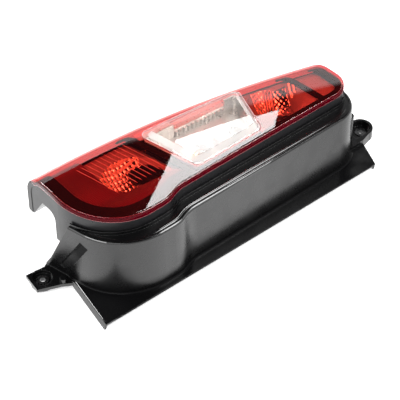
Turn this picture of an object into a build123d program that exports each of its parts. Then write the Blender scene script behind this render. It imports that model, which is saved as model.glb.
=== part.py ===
"""Tail light cluster of a van, lens up, with its side shroud and two screw tabs.

The frame has its origin midway between the two screw holes, on the plane the
tabs seat on. +X runs along the lamp, -Y is the side with the shroud, +Z is
the way the lens faces.
"""
from build123d import *
import math
import os

os.makedirs("parts", exist_ok=True)

# Screw tabs
SCREW_SPAN_X = 481.0
SCREW_SPAN_Y = 56.6
SLEEVE_BORE_R = 3.5
SLEEVE_R = 5.0
RECESS_R = 12.2

# Lens rim in plan
RIM_LEFT = -208.5
RIM_RIGHT = 205.0
RIM_NEAR = -40.8
RIM_CORNER_R = 28.0
RIGHT_LEAN = 7.0
BELLY_DEPTH = 8.2
BELLY_CORNER_R = 80.0
BELLY_FLAT = 17.0
BELLY_BLEND = 39.0

# Lens in section, on the plane where the far side starts to curve away
CROWN_TOP = 123.0
CROWN_Y = 45.0
CROWN_R = 700.0
FLAP_Y = 94.0
FLAP_BOTTOM = CROWN_TOP - 66.4
ROLL_R = 34.0
SWEEP_X = -215.0
SWEEP_R = 1560.0
SWEEP_TILT = 0.10
SWEEP_ARC = 17.5
LENS_WALL = 3.0
RIM_HEIGHT = 7.6
SHOULDER_R = 3.2
PLAN_FAR = FLAP_Y + 14.0

# Clear window
WINDOW_NEAR = -30.0
WINDOW_LEFT = -44.0
WINDOW_RIGHT = 60.0
WINDOW_FAR_LEFT = (-67.0, 58.0)
WINDOW_FAR_RIGHT = (85.0, 47.0)
WINDOW_CORNER_R = 9.0
BLOCK_TOP = CROWN_TOP + 6.0
BLOCK_CROWN_R = 700.0
BLOCK_INSET = 7.0
WINDOW_FLANGE = 3.2

# Housing
HOUSING_WALL = 2.5
HOUSING_STEP = 0.6
TUB_BACK = CROWN_TOP - 75.0
TUB_FAR_LEFT = 40.0
TUB_FAR_RIGHT = 16.0
TUB_RIGHT = 184.0
COLLAR_BOTTOM = CROWN_TOP - 29.8
CANOPY_FLOOR = CROWN_TOP - 34.0
CANOPY_EDGE = 64.0
ARCH_R = 12.0
CHEEK_TOP = CROWN_TOP - 14.0
CHEEK_REACH = 26.0
CHEEK_WALL = 2.6
CANOPY_FOOT_Y = 84.0
CANOPY_FOOT_Z = FLAP_BOTTOM + 0.4

# Side shroud
SHELF_TOP = CROWN_TOP - 31.0
SHELF_WIDTH = 21.2
SHROUD_WALL = 2.5
SHROUD_CORNER_R = 80.0
SHROUD_RIGHT = 208.0
SHROUD_END_R = 40.0
WALL_FLARE = 3.0
ARM_LEAN = 14.5
ARM_TOP_Y = 9.3
ARM_FOOT_Y = 44.0
FLANGE_TOP = 7.7
FLANGE_WALL = 2.5
FLANGE_FILLET = 3.5
RIDGE_WIDTH = 3.4
RIDGE_HEIGHT = 0.9
RIDGE_R = 2.6
UPSTAND_HEIGHT = 5.0
TAB_TOP = 9.6
TAB_PLATE = 4.8
TAB_FLOOR = 4.4
CUP_R = 16.0
CUP_TOP = 14.0

# Fixings of the shroud: screw positions along and across the lamp
SHROUD_SCREWS = [(-125.0, -59.5), (-30.0, -51.4), (70.0, -51.4), (160.0, -51.4)]
BOSS_R = 4.6
BOSS_FOOT = SHELF_TOP - 22.0
LUG_WALL = 4.0
SCREW_R = 1.7
SCREW_HEAD_R = 3.8

# Flange and tab corners in plan
FLANGE_CORNERS = [(-213.0, 4.8), (-226.5, -79.7), (210.7, -86.9), (225.6, -48.5)]
LEFT_TAB = [(-254.0, 44.0), (-257.5, 16.0), (-228.5, 4.3), (-217.0, -3.0), (-214.0, 40.0)]
CHANNEL_TOP = (-13.9, SHELF_TOP - 17.1)
CHANNEL_FOOT = (16.8, FLANGE_TOP + 11.5)
CHANNEL_WIDTH = 12.4
CHANNEL_FLOOR = -200.6
CHANNEL_BACK = -199.2
CHANNEL_RUNOUT = 15.0

# Bulbs
STOP_BULB = (-112.0, -4.0)
TURN_BULB = (-16.0, -4.0)
REVERSE_BULB = (38.0, -6.0)
TAIL_BULB = (116.0, -11.0)
GLASS_R = 12.0
GLASS_Z = CROWN_TOP - 28.0
NECK_R = 6.6
CAP_R = 7.4
CAP_TOP = CROWN_TOP - 53.0

# Reflectors and the pieces in front of them
BULB_HOLE_R = 13.6
TUB_HOLE_R = 12.6
REFLECTOR_WALL = 2.2
BOWL_VERTEX = CROWN_TOP - 42.0
STOP_FOCUS = 22.0
STOP_REACH = 56.0
TAIL_FOCUS = 21.5
TAIL_REACH = 54.0
WINDOW_FOCUS = 17.0
SURROUND_GAP = 3.0
BOWL_SIDES = 20
BOWL_RINGS = 6
WINDOW_FLOOR = CROWN_TOP - 29.6
WINDOW_WALL_TOP = CROWN_TOP - 9.5
STRIP_LEFT = -16.0
STRIP_RIGHT = 62.0
STRIP_SILL = CROWN_TOP - 20.0
BEZEL_TOP = 5.0
BEZEL_WALL = 2.5
BEZEL_WIDE = 21.0
BEZEL_NARROW = 11.0
BEZEL_LOW = CROWN_TOP - 23.0
BAR_GAP = 3.0
BAR_WIDTH = 8.0
RIGHT_BAR = [(158.0, -40.0), (145.0, 50.0)]
REFLEX_WALL = 3.0
REFLEX_INNER = [(-147.0, -6.0), (-40.0, -14.0), (-40.0, 140.0), (-147.0, 140.0)]
REFLEX_CORNER_R = 24.0
LOUVRE_BARS = 4
LOUVRE_X = -94.0
LOUVRE_NEAR = -7.0
LOUVRE_FAR = 27.0
LOUVRE_TOP = CROWN_TOP - 20.0
LOUVRE_PITCH = 7.6
LOUVRE_GROOVE = 1.4

# Carrier and the pieces on the back
SEAL_WALL = 3.0
SEAL_WIDTH = 5.0
CARRIER_WALL = 3.5
CARRIER_X = -10.0
CARRIER_Y = -8.0
CARRIER_LENGTH = 312.0
CARRIER_WIDTH = 44.0
HOLDER_R = 10.0
SOCKET_X = -62.0
SOCKET_LENGTH = 38.0
SOCKET_WIDTH = 18.0
SOCKET_WALL = 2.0
SOCKET_DEPTH = 17.0
TRACK_WALL = 0.8
PEGS = [(-186.0, 20.0), (166.0, -6.0)]
PEG_R = 4.0
PEG_BALL_R = 5.0
PEG_BALL_Z = 10.0
PEG_NECK_R = 3.0
BREATHER = (-184.0, 3.0)

LEFT_SCREW = (-SCREW_SPAN_X / 2, SCREW_SPAN_Y / 2)
RIGHT_SCREW = (SCREW_SPAN_X / 2, -SCREW_SPAN_Y / 2)
BELLY_X = RIM_LEFT + BELLY_CORNER_R
BLEND_X = BELLY_X + BELLY_FLAT
TUB_FLOOR = TUB_BACK + HOUSING_WALL
CARRIER_TOP = TUB_BACK - SEAL_WALL
CARRIER_BACK = CARRIER_TOP - CARRIER_WALL
CARRIER_EAR = CARRIER_LENGTH / 2 + 5.0
CARRIER_SCREWS = [(CARRIER_X - CARRIER_EAR, CARRIER_Y), (CARRIER_X + CARRIER_EAR, CARRIER_Y)]
BULBS = [STOP_BULB, TURN_BULB, REVERSE_BULB, TAIL_BULB]
CHANNEL_LENGTH = math.hypot(CHANNEL_FOOT[0] - CHANNEL_TOP[0], CHANNEL_FOOT[1] - CHANNEL_TOP[1])
CHANNEL_ALONG = (
    (CHANNEL_FOOT[0] - CHANNEL_TOP[0]) / CHANNEL_LENGTH,
    (CHANNEL_FOOT[1] - CHANNEL_TOP[1]) / CHANNEL_LENGTH,
)
CHANNEL_PLANE = Plane(
    origin=(0, CHANNEL_TOP[0], CHANNEL_TOP[1]),
    x_dir=(0, CHANNEL_ALONG[0], CHANNEL_ALONG[1]),
    z_dir=(0, -CHANNEL_ALONG[1], CHANNEL_ALONG[0]),
)
SECTION_PLANE = Plane.YZ.offset(SWEEP_X)
SWEEP_AXIS = Axis((SWEEP_X, FLAP_Y - SWEEP_R, 0), (0, SWEEP_TILT, -1))


def rim_outline(inset):
    """Plan outline of the lens rim brought in by inset; its far side runs out past the flap."""
    belly = RIM_NEAR - BELLY_DEPTH
    with BuildSketch() as outline:
        with BuildLine():
            Line((RIM_LEFT, PLAN_FAR), (RIM_LEFT, belly + BELLY_CORNER_R))
            CenterArc((BELLY_X, belly + BELLY_CORNER_R), BELLY_CORNER_R, 180, 90)
            Line((BELLY_X, belly), (BLEND_X, belly))
            middle = (BLEND_X + BELLY_BLEND / 2, belly + BELLY_DEPTH / 2)
            first = TangentArc((BLEND_X, belly), middle, tangent=(1, 0))
            TangentArc(middle, (BLEND_X + BELLY_BLEND, RIM_NEAR), tangent=first % 1)
            Line((BLEND_X + BELLY_BLEND, RIM_NEAR), (RIM_RIGHT - RIM_CORNER_R, RIM_NEAR))
            CenterArc((RIM_RIGHT - RIM_CORNER_R, RIM_NEAR + RIM_CORNER_R), RIM_CORNER_R, 270, 90)
            Polyline(
                (RIM_RIGHT, RIM_NEAR + RIM_CORNER_R),
                (RIM_RIGHT - RIGHT_LEAN, PLAN_FAR),
                (RIM_LEFT, PLAN_FAR),
            )
        make_face()
        if inset:
            offset(amount=-inset)
    return outline.sketch


def lens_section(inset, crown_top=CROWN_TOP, crown_r=CROWN_R):
    """Section of everything under the lens's outer face, brought in by inset."""
    near_y = FLAP_Y - 250
    centre_z = crown_top - crown_r
    radius = crown_r - inset
    far_y = FLAP_Y - inset
    start = math.degrees(math.acos((far_y - CROWN_Y) / radius))
    finish = math.degrees(math.acos((near_y - CROWN_Y) / radius))
    with BuildSketch(SECTION_PLANE) as section:
        with BuildLine():
            crown = CenterArc((CROWN_Y, centre_z), radius, start, finish - start)
            Polyline(crown @ 1, (near_y, 0), (far_y, 0), crown @ 0)
        make_face()
        corner = section.vertices().sort_by(Axis.X)[-2:].sort_by(Axis.Y)[-1]
        fillet(corner, ROLL_R - inset)
    return section.sketch


def under_lens(inset, plan_inset, bottom):
    """Solid under the lens's outer face, brought in by the two insets and cut off level below."""
    with BuildPart() as body:
        with BuildSketch(Plane.XY.offset(bottom)):
            add(rim_outline(plan_inset))
        extrude(amount=CROWN_TOP + 20 - bottom)
        add(lens_section(inset))
        revolve(axis=SWEEP_AXIS, revolution_arc=SWEEP_ARC, mode=Mode.INTERSECT)
    return body.part


def window_outline(inset):
    """Plan outline of the clear window, four corners rounded, brought in by inset."""
    with BuildSketch() as outline:
        with BuildLine():
            Polyline(
                (WINDOW_LEFT, WINDOW_NEAR),
                (WINDOW_RIGHT, WINDOW_NEAR),
                WINDOW_FAR_RIGHT,
                WINDOW_FAR_LEFT,
                close=True,
            )
        make_face()
        fillet(outline.vertices(), WINDOW_CORNER_R)
        if inset:
            offset(amount=-inset)
    return outline.sketch


def window_block(inset, drop):
    """Raised block of the window: sloping sides brought in by inset, top lowered by drop."""
    low = CROWN_TOP - 12
    rise = BLOCK_TOP + 4 - low
    slope = BLOCK_INSET / (BLOCK_TOP - CROWN_TOP + 3)
    base = WINDOW_FLANGE - slope * (CROWN_TOP - 3 - low)
    with BuildPart() as block:
        with BuildSketch(Plane.XY.offset(low)):
            add(window_outline(inset + base))
        with BuildSketch(Plane.XY.offset(low + rise)):
            add(window_outline(inset + base + slope * rise))
        loft(ruled=True)
        add(lens_section(drop - 5, BLOCK_TOP - 5, BLOCK_CROWN_R))
        revolve(axis=SWEEP_AXIS, revolution_arc=SWEEP_ARC, mode=Mode.INTERSECT)
    return block.part


def shroud_outline(inset):
    """Plan outline of the shroud's outer wall at the shelf; each line and arc is moved in by inset."""
    near = RIM_NEAR - SHELF_WIDTH + inset
    belly = near - BELLY_DEPTH
    lean = math.radians(ARM_LEAN)
    corner_r = SHROUD_CORNER_R - inset
    middle_y = belly + corner_r
    turn = (BELLY_X - corner_r * math.cos(lean), middle_y - corner_r * math.sin(lean))
    far = ARM_FOOT_Y + 12
    arm_end = (turn[0] - (far - turn[1]) * math.tan(lean), far)
    swing = 2 * math.atan(BELLY_DEPTH / BELLY_BLEND)
    middle = (
        BLEND_X + BELLY_BLEND / 2 - inset * math.sin(swing),
        near - inset - BELLY_DEPTH / 2 + inset * math.cos(swing),
    )
    end_r = SHROUD_END_R - inset
    end_x = SHROUD_RIGHT - SHROUD_END_R
    with BuildSketch() as outline:
        with BuildLine():
            Line(arm_end, turn)
            CenterArc((BELLY_X, middle_y), corner_r, 180 + ARM_LEAN, 90 - ARM_LEAN)
            Line((BELLY_X, belly), (BLEND_X, belly))
            first = TangentArc((BLEND_X, belly), middle, tangent=(1, 0))
            TangentArc(middle, (BLEND_X + BELLY_BLEND, near), tangent=first % 1)
            Line((BLEND_X + BELLY_BLEND, near), (end_x, near))
            CenterArc((end_x, near + end_r), end_r, 270, 90)
            Polyline((end_x + end_r, near + end_r), (end_x + end_r, far), arm_end)
        make_face()
    return outline.sketch


def wall_flare(z):
    """How far the shroud's wall stands out at height z, from nothing at the shelf."""
    return WALL_FLARE * (SHELF_TOP - z) / (SHELF_TOP - FLANGE_TOP)


def tub_outline(inset):
    """Plan outline of the deep part of the housing, brought in by inset."""
    with BuildSketch() as outline:
        add(rim_outline(HOUSING_STEP))
        with BuildLine():
            Polyline(
                (RIM_LEFT - 20, RIM_NEAR - 40),
                (TUB_RIGHT, RIM_NEAR - 40),
                (TUB_RIGHT, TUB_FAR_RIGHT),
                (RIM_LEFT - 20, TUB_FAR_LEFT),
                close=True,
            )
        make_face(mode=Mode.INTERSECT)
        if inset:
            offset(amount=-inset)
    return outline.sketch


def canopy_section(inset):
    """Section of the shallow far part of the housing, open upward, brought in by inset."""
    with BuildSketch(SECTION_PLANE) as section:
        with BuildLine():
            Polyline(
                (FLAP_Y - 250, CROWN_TOP + 30),
                (FLAP_Y - 250, CANOPY_FLOOR),
                (CANOPY_EDGE, CANOPY_FLOOR),
                (CANOPY_FOOT_Y, CANOPY_FOOT_Z),
                (FLAP_Y - RIM_HEIGHT, CANOPY_FOOT_Z),
                (FLAP_Y - RIM_HEIGHT, CROWN_TOP + 30),
                close=True,
            )
        make_face()
        if inset:
            offset(amount=-inset, kind=Kind.INTERSECTION)
    return section.sketch


def canopy(inset):
    """Shallow far part of the housing as a solid, brought in by inset."""
    with BuildPart() as body:
        with BuildSketch(Plane.XY.offset(CANOPY_FOOT_Z - 5)):
            add(rim_outline(HOUSING_STEP + inset))
            with BuildLine():
                Polyline(
                    (RIM_LEFT - 20, TUB_FAR_LEFT - 5),
                    (TUB_RIGHT, TUB_FAR_RIGHT - 5),
                    (RIM_RIGHT + 20, TUB_FAR_RIGHT - 5),
                    (RIM_RIGHT + 20, PLAN_FAR + 20),
                    (RIM_LEFT - 20, PLAN_FAR + 20),
                    close=True,
                )
            make_face(mode=Mode.INTERSECT)
        extrude(amount=CROWN_TOP + 20 - CANOPY_FOOT_Z)
        add(canopy_section(inset))
        revolve(axis=SWEEP_AXIS, revolution_arc=SWEEP_ARC, mode=Mode.INTERSECT)
    return body.part


def window_side(shift_left, shift_right, near):
    """Plan area between the window's two sloping sides, each moved along X, from near to the far side."""
    left_slope = (WINDOW_FAR_LEFT[0] - WINDOW_LEFT) / (WINDOW_FAR_LEFT[1] - WINDOW_NEAR)
    right_slope = (WINDOW_FAR_RIGHT[0] - WINDOW_RIGHT) / (WINDOW_FAR_RIGHT[1] - WINDOW_NEAR)
    with BuildSketch() as area:
        with BuildLine():
            Polyline(
                (WINDOW_LEFT + shift_left + left_slope * (near - WINDOW_NEAR), near),
                (WINDOW_RIGHT + shift_right + right_slope * (near - WINDOW_NEAR), near),
                (WINDOW_RIGHT + shift_right + right_slope * (PLAN_FAR + 20 - WINDOW_NEAR), PLAN_FAR + 20),
                (WINDOW_LEFT + shift_left + left_slope * (PLAN_FAR + 20 - WINDOW_NEAR), PLAN_FAR + 20),
                close=True,
            )
        make_face()
    return area.sketch


def right_bar_area():
    """Plan area of the black bar that crosses the upper chamber."""
    near, far = RIGHT_BAR
    with BuildSketch() as area:
        with BuildLine():
            Polyline(near, (near[0] + BAR_WIDTH, near[1]), (far[0] + BAR_WIDTH, far[1]), far, close=True)
        make_face()
    return area.sketch


def upright(centre):
    """Upright plane through a point of the plan, its own axes along X and Z."""
    return Plane(origin=(centre[0], centre[1], 0), x_dir=(1, 0, 0), z_dir=(0, -1, 0))


def bowl_height(radius, focus):
    """Height of the reflecting bowl at a distance from its bulb's axis."""
    return BOWL_VERTEX + radius * radius / (4 * focus)


def bowl_hollow(centre, focus, reach):
    """Facetted hollow above a bowl: flat panels between rings of a polygon, widening upward."""
    inner = BULB_HOLE_R * 0.7
    with BuildPart() as hollow:
        for i in range(BOWL_RINGS + 1):
            radius = inner + (reach + 2 - inner) * i / BOWL_RINGS
            with BuildSketch(Plane.XY.offset(bowl_height(radius, focus))):
                with Locations(centre):
                    RegularPolygon(radius, BOWL_SIDES)
        loft(ruled=True)
    return hollow.part


def bowl_shell(centre, focus, reach, plan):
    """Thin facetted bowl cut to a plan outline, on a tube that stands on the tub's floor."""
    below = []
    for i in range(BOWL_RINGS + 1):
        radius = reach * i / BOWL_RINGS
        below.append((radius, bowl_height(radius, focus) - REFLECTOR_WALL))
    top = bowl_height(reach, focus)
    with BuildPart() as shell:
        with BuildSketch(upright(centre)):
            with BuildLine():
                Polyline(*below, (reach, top), (0, top), close=True)
            make_face()
        revolve(axis=Axis((centre[0], centre[1], 0), (0, 0, 1)))
        with BuildSketch(Plane.XY.offset(TUB_FLOOR)):
            add(plan)
        extrude(amount=top, mode=Mode.INTERSECT)
        with BuildSketch(Plane.XY.offset(TUB_FLOOR)):
            with Locations(centre):
                Circle(BULB_HOLE_R + REFLECTOR_WALL)
        extrude(amount=bowl_height(BULB_HOLE_R, focus) - TUB_FLOOR)
        add(bowl_hollow(centre, focus, reach), mode=Mode.SUBTRACT)
        with BuildSketch(Plane.XY.offset(TUB_FLOOR)):
            with Locations(centre):
                Circle(BULB_HOLE_R)
        extrude(amount=top, mode=Mode.SUBTRACT)
    return shell.part


def bulb_glass(centre):
    """Bulb envelope: a neck that swells into a ball."""
    start = (NECK_R, CAP_TOP + 4)
    with BuildPart() as glass:
        with BuildSketch(upright(centre)):
            with BuildLine():
                Polyline((0, GLASS_Z + GLASS_R), (0, CAP_TOP), (NECK_R, CAP_TOP), start)
                Spline(start, (GLASS_R, GLASS_Z), tangents=[(0, 1), (0, 1)])
                CenterArc((0, GLASS_Z), GLASS_R, 0, 90)
            make_face()
        revolve(axis=Axis((centre[0], centre[1], 0), (0, 0, 1)))
    return glass.part


def bulb_cap(centre):
    """Bulb cap: a plain barrel with a rounded contact at its foot."""
    with BuildPart() as cap:
        with BuildSketch(Plane.XY.offset(CARRIER_TOP - 1)):
            with Locations(centre):
                Circle(CAP_R)
        extrude(amount=CAP_TOP - CARRIER_TOP + 1)
        foot = cap.edges().sort_by(Axis.Z)[0]
        chamfer(foot, 1.2)
    return cap.part


def shroud_core(inset, bottom, top):
    """Solid inside the shroud's flared wall, brought in by inset, between two heights."""
    with BuildPart() as core:
        with BuildSketch(Plane.XY.offset(bottom)):
            add(shroud_outline(inset - wall_flare(bottom)))
        with BuildSketch(Plane.XY.offset(top)):
            add(shroud_outline(inset - wall_flare(top)))
        loft(ruled=True)
    return core.part


def foot_cove():
    """Hollow curve between the wall and the flange, in rings that follow a quarter circle."""
    steps = 5
    with BuildPart() as cove:
        for i in range(steps + 1):
            turn = math.pi / 2 * i / steps
            z = FLANGE_TOP + FLANGE_FILLET * (1 - math.cos(turn))
            out = wall_flare(z) + FLANGE_FILLET * (1 - math.sin(turn))
            with BuildSketch(Plane.XY.offset(z)):
                add(shroud_outline(-out))
        loft(ruled=True)
    return cove.part


def ridge_crown():
    """Rounded top of the wall along the shelf, in rings that follow a quarter circle."""
    steps = 5
    top = SHELF_TOP + RIDGE_HEIGHT
    with BuildPart() as crown:
        for i in range(steps + 1):
            turn = math.pi / 2 * i / steps
            z = top - RIDGE_R * (1 - math.sin(turn))
            with BuildSketch(Plane.XY.offset(z)):
                add(shroud_outline(RIDGE_R * (1 - math.cos(turn)) - wall_flare(z)))
        loft(ruled=True)
    return crown.part


def arch_cove():
    """Hollow curve between the tub's far wall and the floor of the shallow part, along the wall."""
    start = Vector(RIM_LEFT - 20, TUB_FAR_LEFT, 0)
    end = Vector(TUB_RIGHT, TUB_FAR_RIGHT, 0)
    along = (end - start).normalized()
    out = Vector(-along.Y, along.X, 0)
    with BuildPart() as cove:
        with BuildSketch(Plane(origin=start, x_dir=out, z_dir=along)):
            with BuildLine():
                Polyline(
                    (ARCH_R, CANOPY_FLOOR),
                    (ARCH_R, CANOPY_FLOOR + 1),
                    (-1, CANOPY_FLOOR + 1),
                    (-1, CANOPY_FLOOR - ARCH_R),
                    (0, CANOPY_FLOOR - ARCH_R),
                )
                RadiusArc((0, CANOPY_FLOOR - ARCH_R), (ARCH_R, CANOPY_FLOOR), ARCH_R)
            make_face()
        extrude(amount=(end - start).length * 0.7)
        with BuildSketch(Plane.XY):
            add(rim_outline(HOUSING_STEP))
        extrude(amount=CROWN_TOP, mode=Mode.INTERSECT)
    return cove.part


def end_cheek():
    """End of the housing that stands level with the lens and covers the end of its flap."""
    with BuildPart() as cheek:
        add(under_lens(0, 0, FLAP_BOTTOM))
        add(under_lens(RIM_HEIGHT, -1, FLAP_BOTTOM - 1), mode=Mode.SUBTRACT)
        with Locations((RIM_LEFT, FLAP_Y, CHEEK_TOP)):
            Box(
                2 * CHEEK_WALL,
                2 * CHEEK_REACH,
                CHEEK_TOP,
                align=(Align.CENTER, Align.CENTER, Align.MAX),
                mode=Mode.INTERSECT,
            )
    return cheek.part


def reflector_surround(plan, inset):
    """Thin plate at an even depth under the lens that fills a chamber round its bowl."""
    with BuildPart() as plate:
        with BuildSketch(Plane.XY.offset(BEZEL_LOW)):
            add(plan)
        extrude(amount=CROWN_TOP - BEZEL_LOW)
        add(under_lens(inset, -1, BEZEL_LOW - 1), mode=Mode.INTERSECT)
        add(under_lens(inset + REFLECTOR_WALL, -1, BEZEL_LOW - 1), mode=Mode.SUBTRACT)
    return plate.part


def channel_pad():
    """Thickening behind the arm's slanted channel, held inside the shroud's outer wall."""
    with BuildPart() as pad:
        add(shroud_core(0, FLANGE_TOP - FLANGE_WALL, SHELF_TOP))
        with BuildSketch(CHANNEL_PLANE):
            with BuildLine():
                Polyline(
                    (-2.5, -CHANNEL_BACK),
                    (-2.5, -CHANNEL_BACK + 60),
                    (CHANNEL_LENGTH + 2.5, -CHANNEL_BACK + 60),
                    (CHANNEL_LENGTH + 2.5, -CHANNEL_BACK + CHANNEL_RUNOUT),
                    close=True,
                )
            make_face()
        extrude(amount=CHANNEL_WIDTH / 2 + 2.5, both=True, mode=Mode.INTERSECT)
    return pad.part


def left_of_window(shift):
    """Plan area left of the window's sloping left side moved along X."""
    slope = (WINDOW_FAR_LEFT[0] - WINDOW_LEFT) / (WINDOW_FAR_LEFT[1] - WINDOW_NEAR)
    far = PLAN_FAR + 20
    near = RIM_NEAR - 60
    with BuildSketch() as area:
        with BuildLine():
            Polyline(
                (WINDOW_LEFT + shift + slope * (near - WINDOW_NEAR), near),
                (WINDOW_LEFT + shift + slope * (far - WINDOW_NEAR), far),
                (RIM_LEFT - 60, far),
                (RIM_LEFT - 60, near),
                close=True,
            )
        make_face()
    return area.sketch


def right_of_window(shift):
    """Plan area right of the window's sloping right side moved along X."""
    slope = (WINDOW_FAR_RIGHT[0] - WINDOW_RIGHT) / (WINDOW_FAR_RIGHT[1] - WINDOW_NEAR)
    far = PLAN_FAR + 20
    near = RIM_NEAR - 60
    with BuildSketch() as area:
        with BuildLine():
            Polyline(
                (WINDOW_RIGHT + shift + slope * (near - WINDOW_NEAR), near),
                (RIM_RIGHT + 60, near),
                (RIM_RIGHT + 60, far),
                (WINDOW_RIGHT + shift + slope * (far - WINDOW_NEAR), far),
                close=True,
            )
        make_face()
    return area.sketch


def lower_opening(inset):
    """Plan opening of the lower chamber, from the rim brought in by inset to the bar by the window."""
    with BuildSketch() as area:
        add(rim_outline(inset))
        add(left_of_window(-BAR_GAP - BAR_WIDTH), mode=Mode.INTERSECT)
    return area.sketch


def upper_opening(inset):
    """Plan opening of the upper chamber, either side of its black bar."""
    with BuildSketch() as area:
        add(rim_outline(inset))
        add(right_of_window(2), mode=Mode.INTERSECT)
        add(right_bar_area(), mode=Mode.SUBTRACT)
    return area.sketch


def reflex_inside():
    """Plan area that the prism plate leaves open for the lower bowl."""
    with BuildSketch() as area:
        with BuildLine():
            Polyline(*REFLEX_INNER, close=True)
        make_face()
        corner = area.vertices().sort_by(Axis.X)[:2].sort_by(Axis.Y)[0]
        fillet(corner, REFLEX_CORNER_R)
    return area.sketch


def lower_plan():
    """Plan outline of the lower bowl, inside the tub and left of the window's reflector."""
    with BuildSketch() as area:
        with Locations(STOP_BULB):
            Rectangle(2 * STOP_REACH, 2 * STOP_REACH)
        add(rim_outline(LENS_WALL + 8), mode=Mode.INTERSECT)
        add(left_of_window(-1), mode=Mode.INTERSECT)
    return area.sketch


def upper_plan():
    """Plan outline of the upper bowl, inside the tub and right of the window's reflector."""
    with BuildSketch() as area:
        with Locations(TAIL_BULB):
            Rectangle(2 * TAIL_REACH, 2 * TAIL_REACH)
        add(rim_outline(LENS_WALL + 4), mode=Mode.INTERSECT)
        add(right_of_window(1), mode=Mode.INTERSECT)
    return area.sketch


def round_plan(centre, radius):
    """Round plan outline about a bulb."""
    with BuildSketch() as area:
        with Locations(centre):
            Circle(radius)
    return area.sketch


def bowl_solid(centre, focus, reach):
    """Everything in a bowl's hollow and straight above it."""
    with BuildPart() as solid:
        add(bowl_hollow(centre, focus, reach))
        with BuildSketch(Plane.XY.offset(bowl_height(reach + 2, focus))):
            with Locations(centre):
                RegularPolygon(reach + 2, BOWL_SIDES)
        extrude(amount=20)
    return solid.part


def louvre_block():
    """Ribbed black block: bars side by side along the window's slope, joined low down."""
    slope = (WINDOW_FAR_LEFT[0] - WINDOW_LEFT) / (WINDOW_FAR_LEFT[1] - WINDOW_NEAR)
    near, far = LOUVRE_NEAR, LOUVRE_FAR
    with BuildPart() as block:
        for i in range(LOUVRE_BARS):
            left = LOUVRE_X + i * LOUVRE_PITCH
            with BuildSketch(Plane.XY.offset(BOWL_VERTEX)):
                with BuildLine():
                    Polyline(
                        (left, near),
                        (left + LOUVRE_PITCH - LOUVRE_GROOVE, near),
                        (left + LOUVRE_PITCH - LOUVRE_GROOVE + slope * (far - near), far),
                        (left + slope * (far - near), far),
                        close=True,
                    )
                make_face()
        extrude(amount=LOUVRE_TOP - BOWL_VERTEX)
        with BuildSketch(Plane.XY.offset(BOWL_VERTEX)):
            with BuildLine():
                Polyline(
                    (LOUVRE_X, near),
                    (LOUVRE_X + LOUVRE_BARS * LOUVRE_PITCH - LOUVRE_GROOVE, near),
                    (LOUVRE_X + LOUVRE_BARS * LOUVRE_PITCH - LOUVRE_GROOVE + slope * (far - near), far),
                    (LOUVRE_X + slope * (far - near), far),
                    close=True,
                )
            make_face()
        extrude(amount=LOUVRE_TOP - BOWL_VERTEX - 3)
    return block.part


# Red outer lens: the rolled shell, its skirt and the opening for the window
with BuildPart() as red_lens:
    add(under_lens(0, 0, FLAP_BOTTOM))
    sides = red_lens.faces().filter_by(lambda f: f.geom_type in (GeomType.PLANE, GeomType.CYLINDER))
    sides = sides.filter_by(lambda f: abs(f.normal_at().Z) < 0.01)
    rolled = red_lens.faces().filter_by(lambda f: f.geom_type not in (GeomType.PLANE, GeomType.CYLINDER))
    fillet(sides.edges() & rolled.edges(), SHOULDER_R)
    add(under_lens(RIM_HEIGHT, -1, FLAP_BOTTOM - 1), mode=Mode.SUBTRACT)
    add(under_lens(LENS_WALL, LENS_WALL, FLAP_BOTTOM + LENS_WALL), mode=Mode.SUBTRACT)
    with BuildSketch(Plane.XY.offset(CROWN_TOP - 30)):
        add(window_outline(0))
    extrude(amount=60, mode=Mode.SUBTRACT)
    add(end_cheek(), mode=Mode.SUBTRACT)
red_lens.part.label = "red_lens"
export_step(red_lens.part, "parts/red_lens.step")

# Clear window: a flange level with the red lens and the raised hollow block
with BuildPart() as clear_lens:
    with BuildSketch(Plane.XY.offset(CROWN_TOP - 30)):
        add(window_outline(0))
    extrude(amount=60)
    add(under_lens(0, 0, FLAP_BOTTOM), mode=Mode.INTERSECT)
    add(window_block(0, 0))
    with BuildSketch(Plane.XY.offset(CROWN_TOP - 30)):
        add(window_outline(0))
    extrude(amount=60, mode=Mode.INTERSECT)
    add(under_lens(LENS_WALL, -1, FLAP_BOTTOM - 1), mode=Mode.SUBTRACT)
    add(window_block(LENS_WALL, LENS_WALL), mode=Mode.SUBTRACT)
clear_lens.part.label = "clear_lens"
export_step(clear_lens.part, "parts/clear_lens.step")

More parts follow.
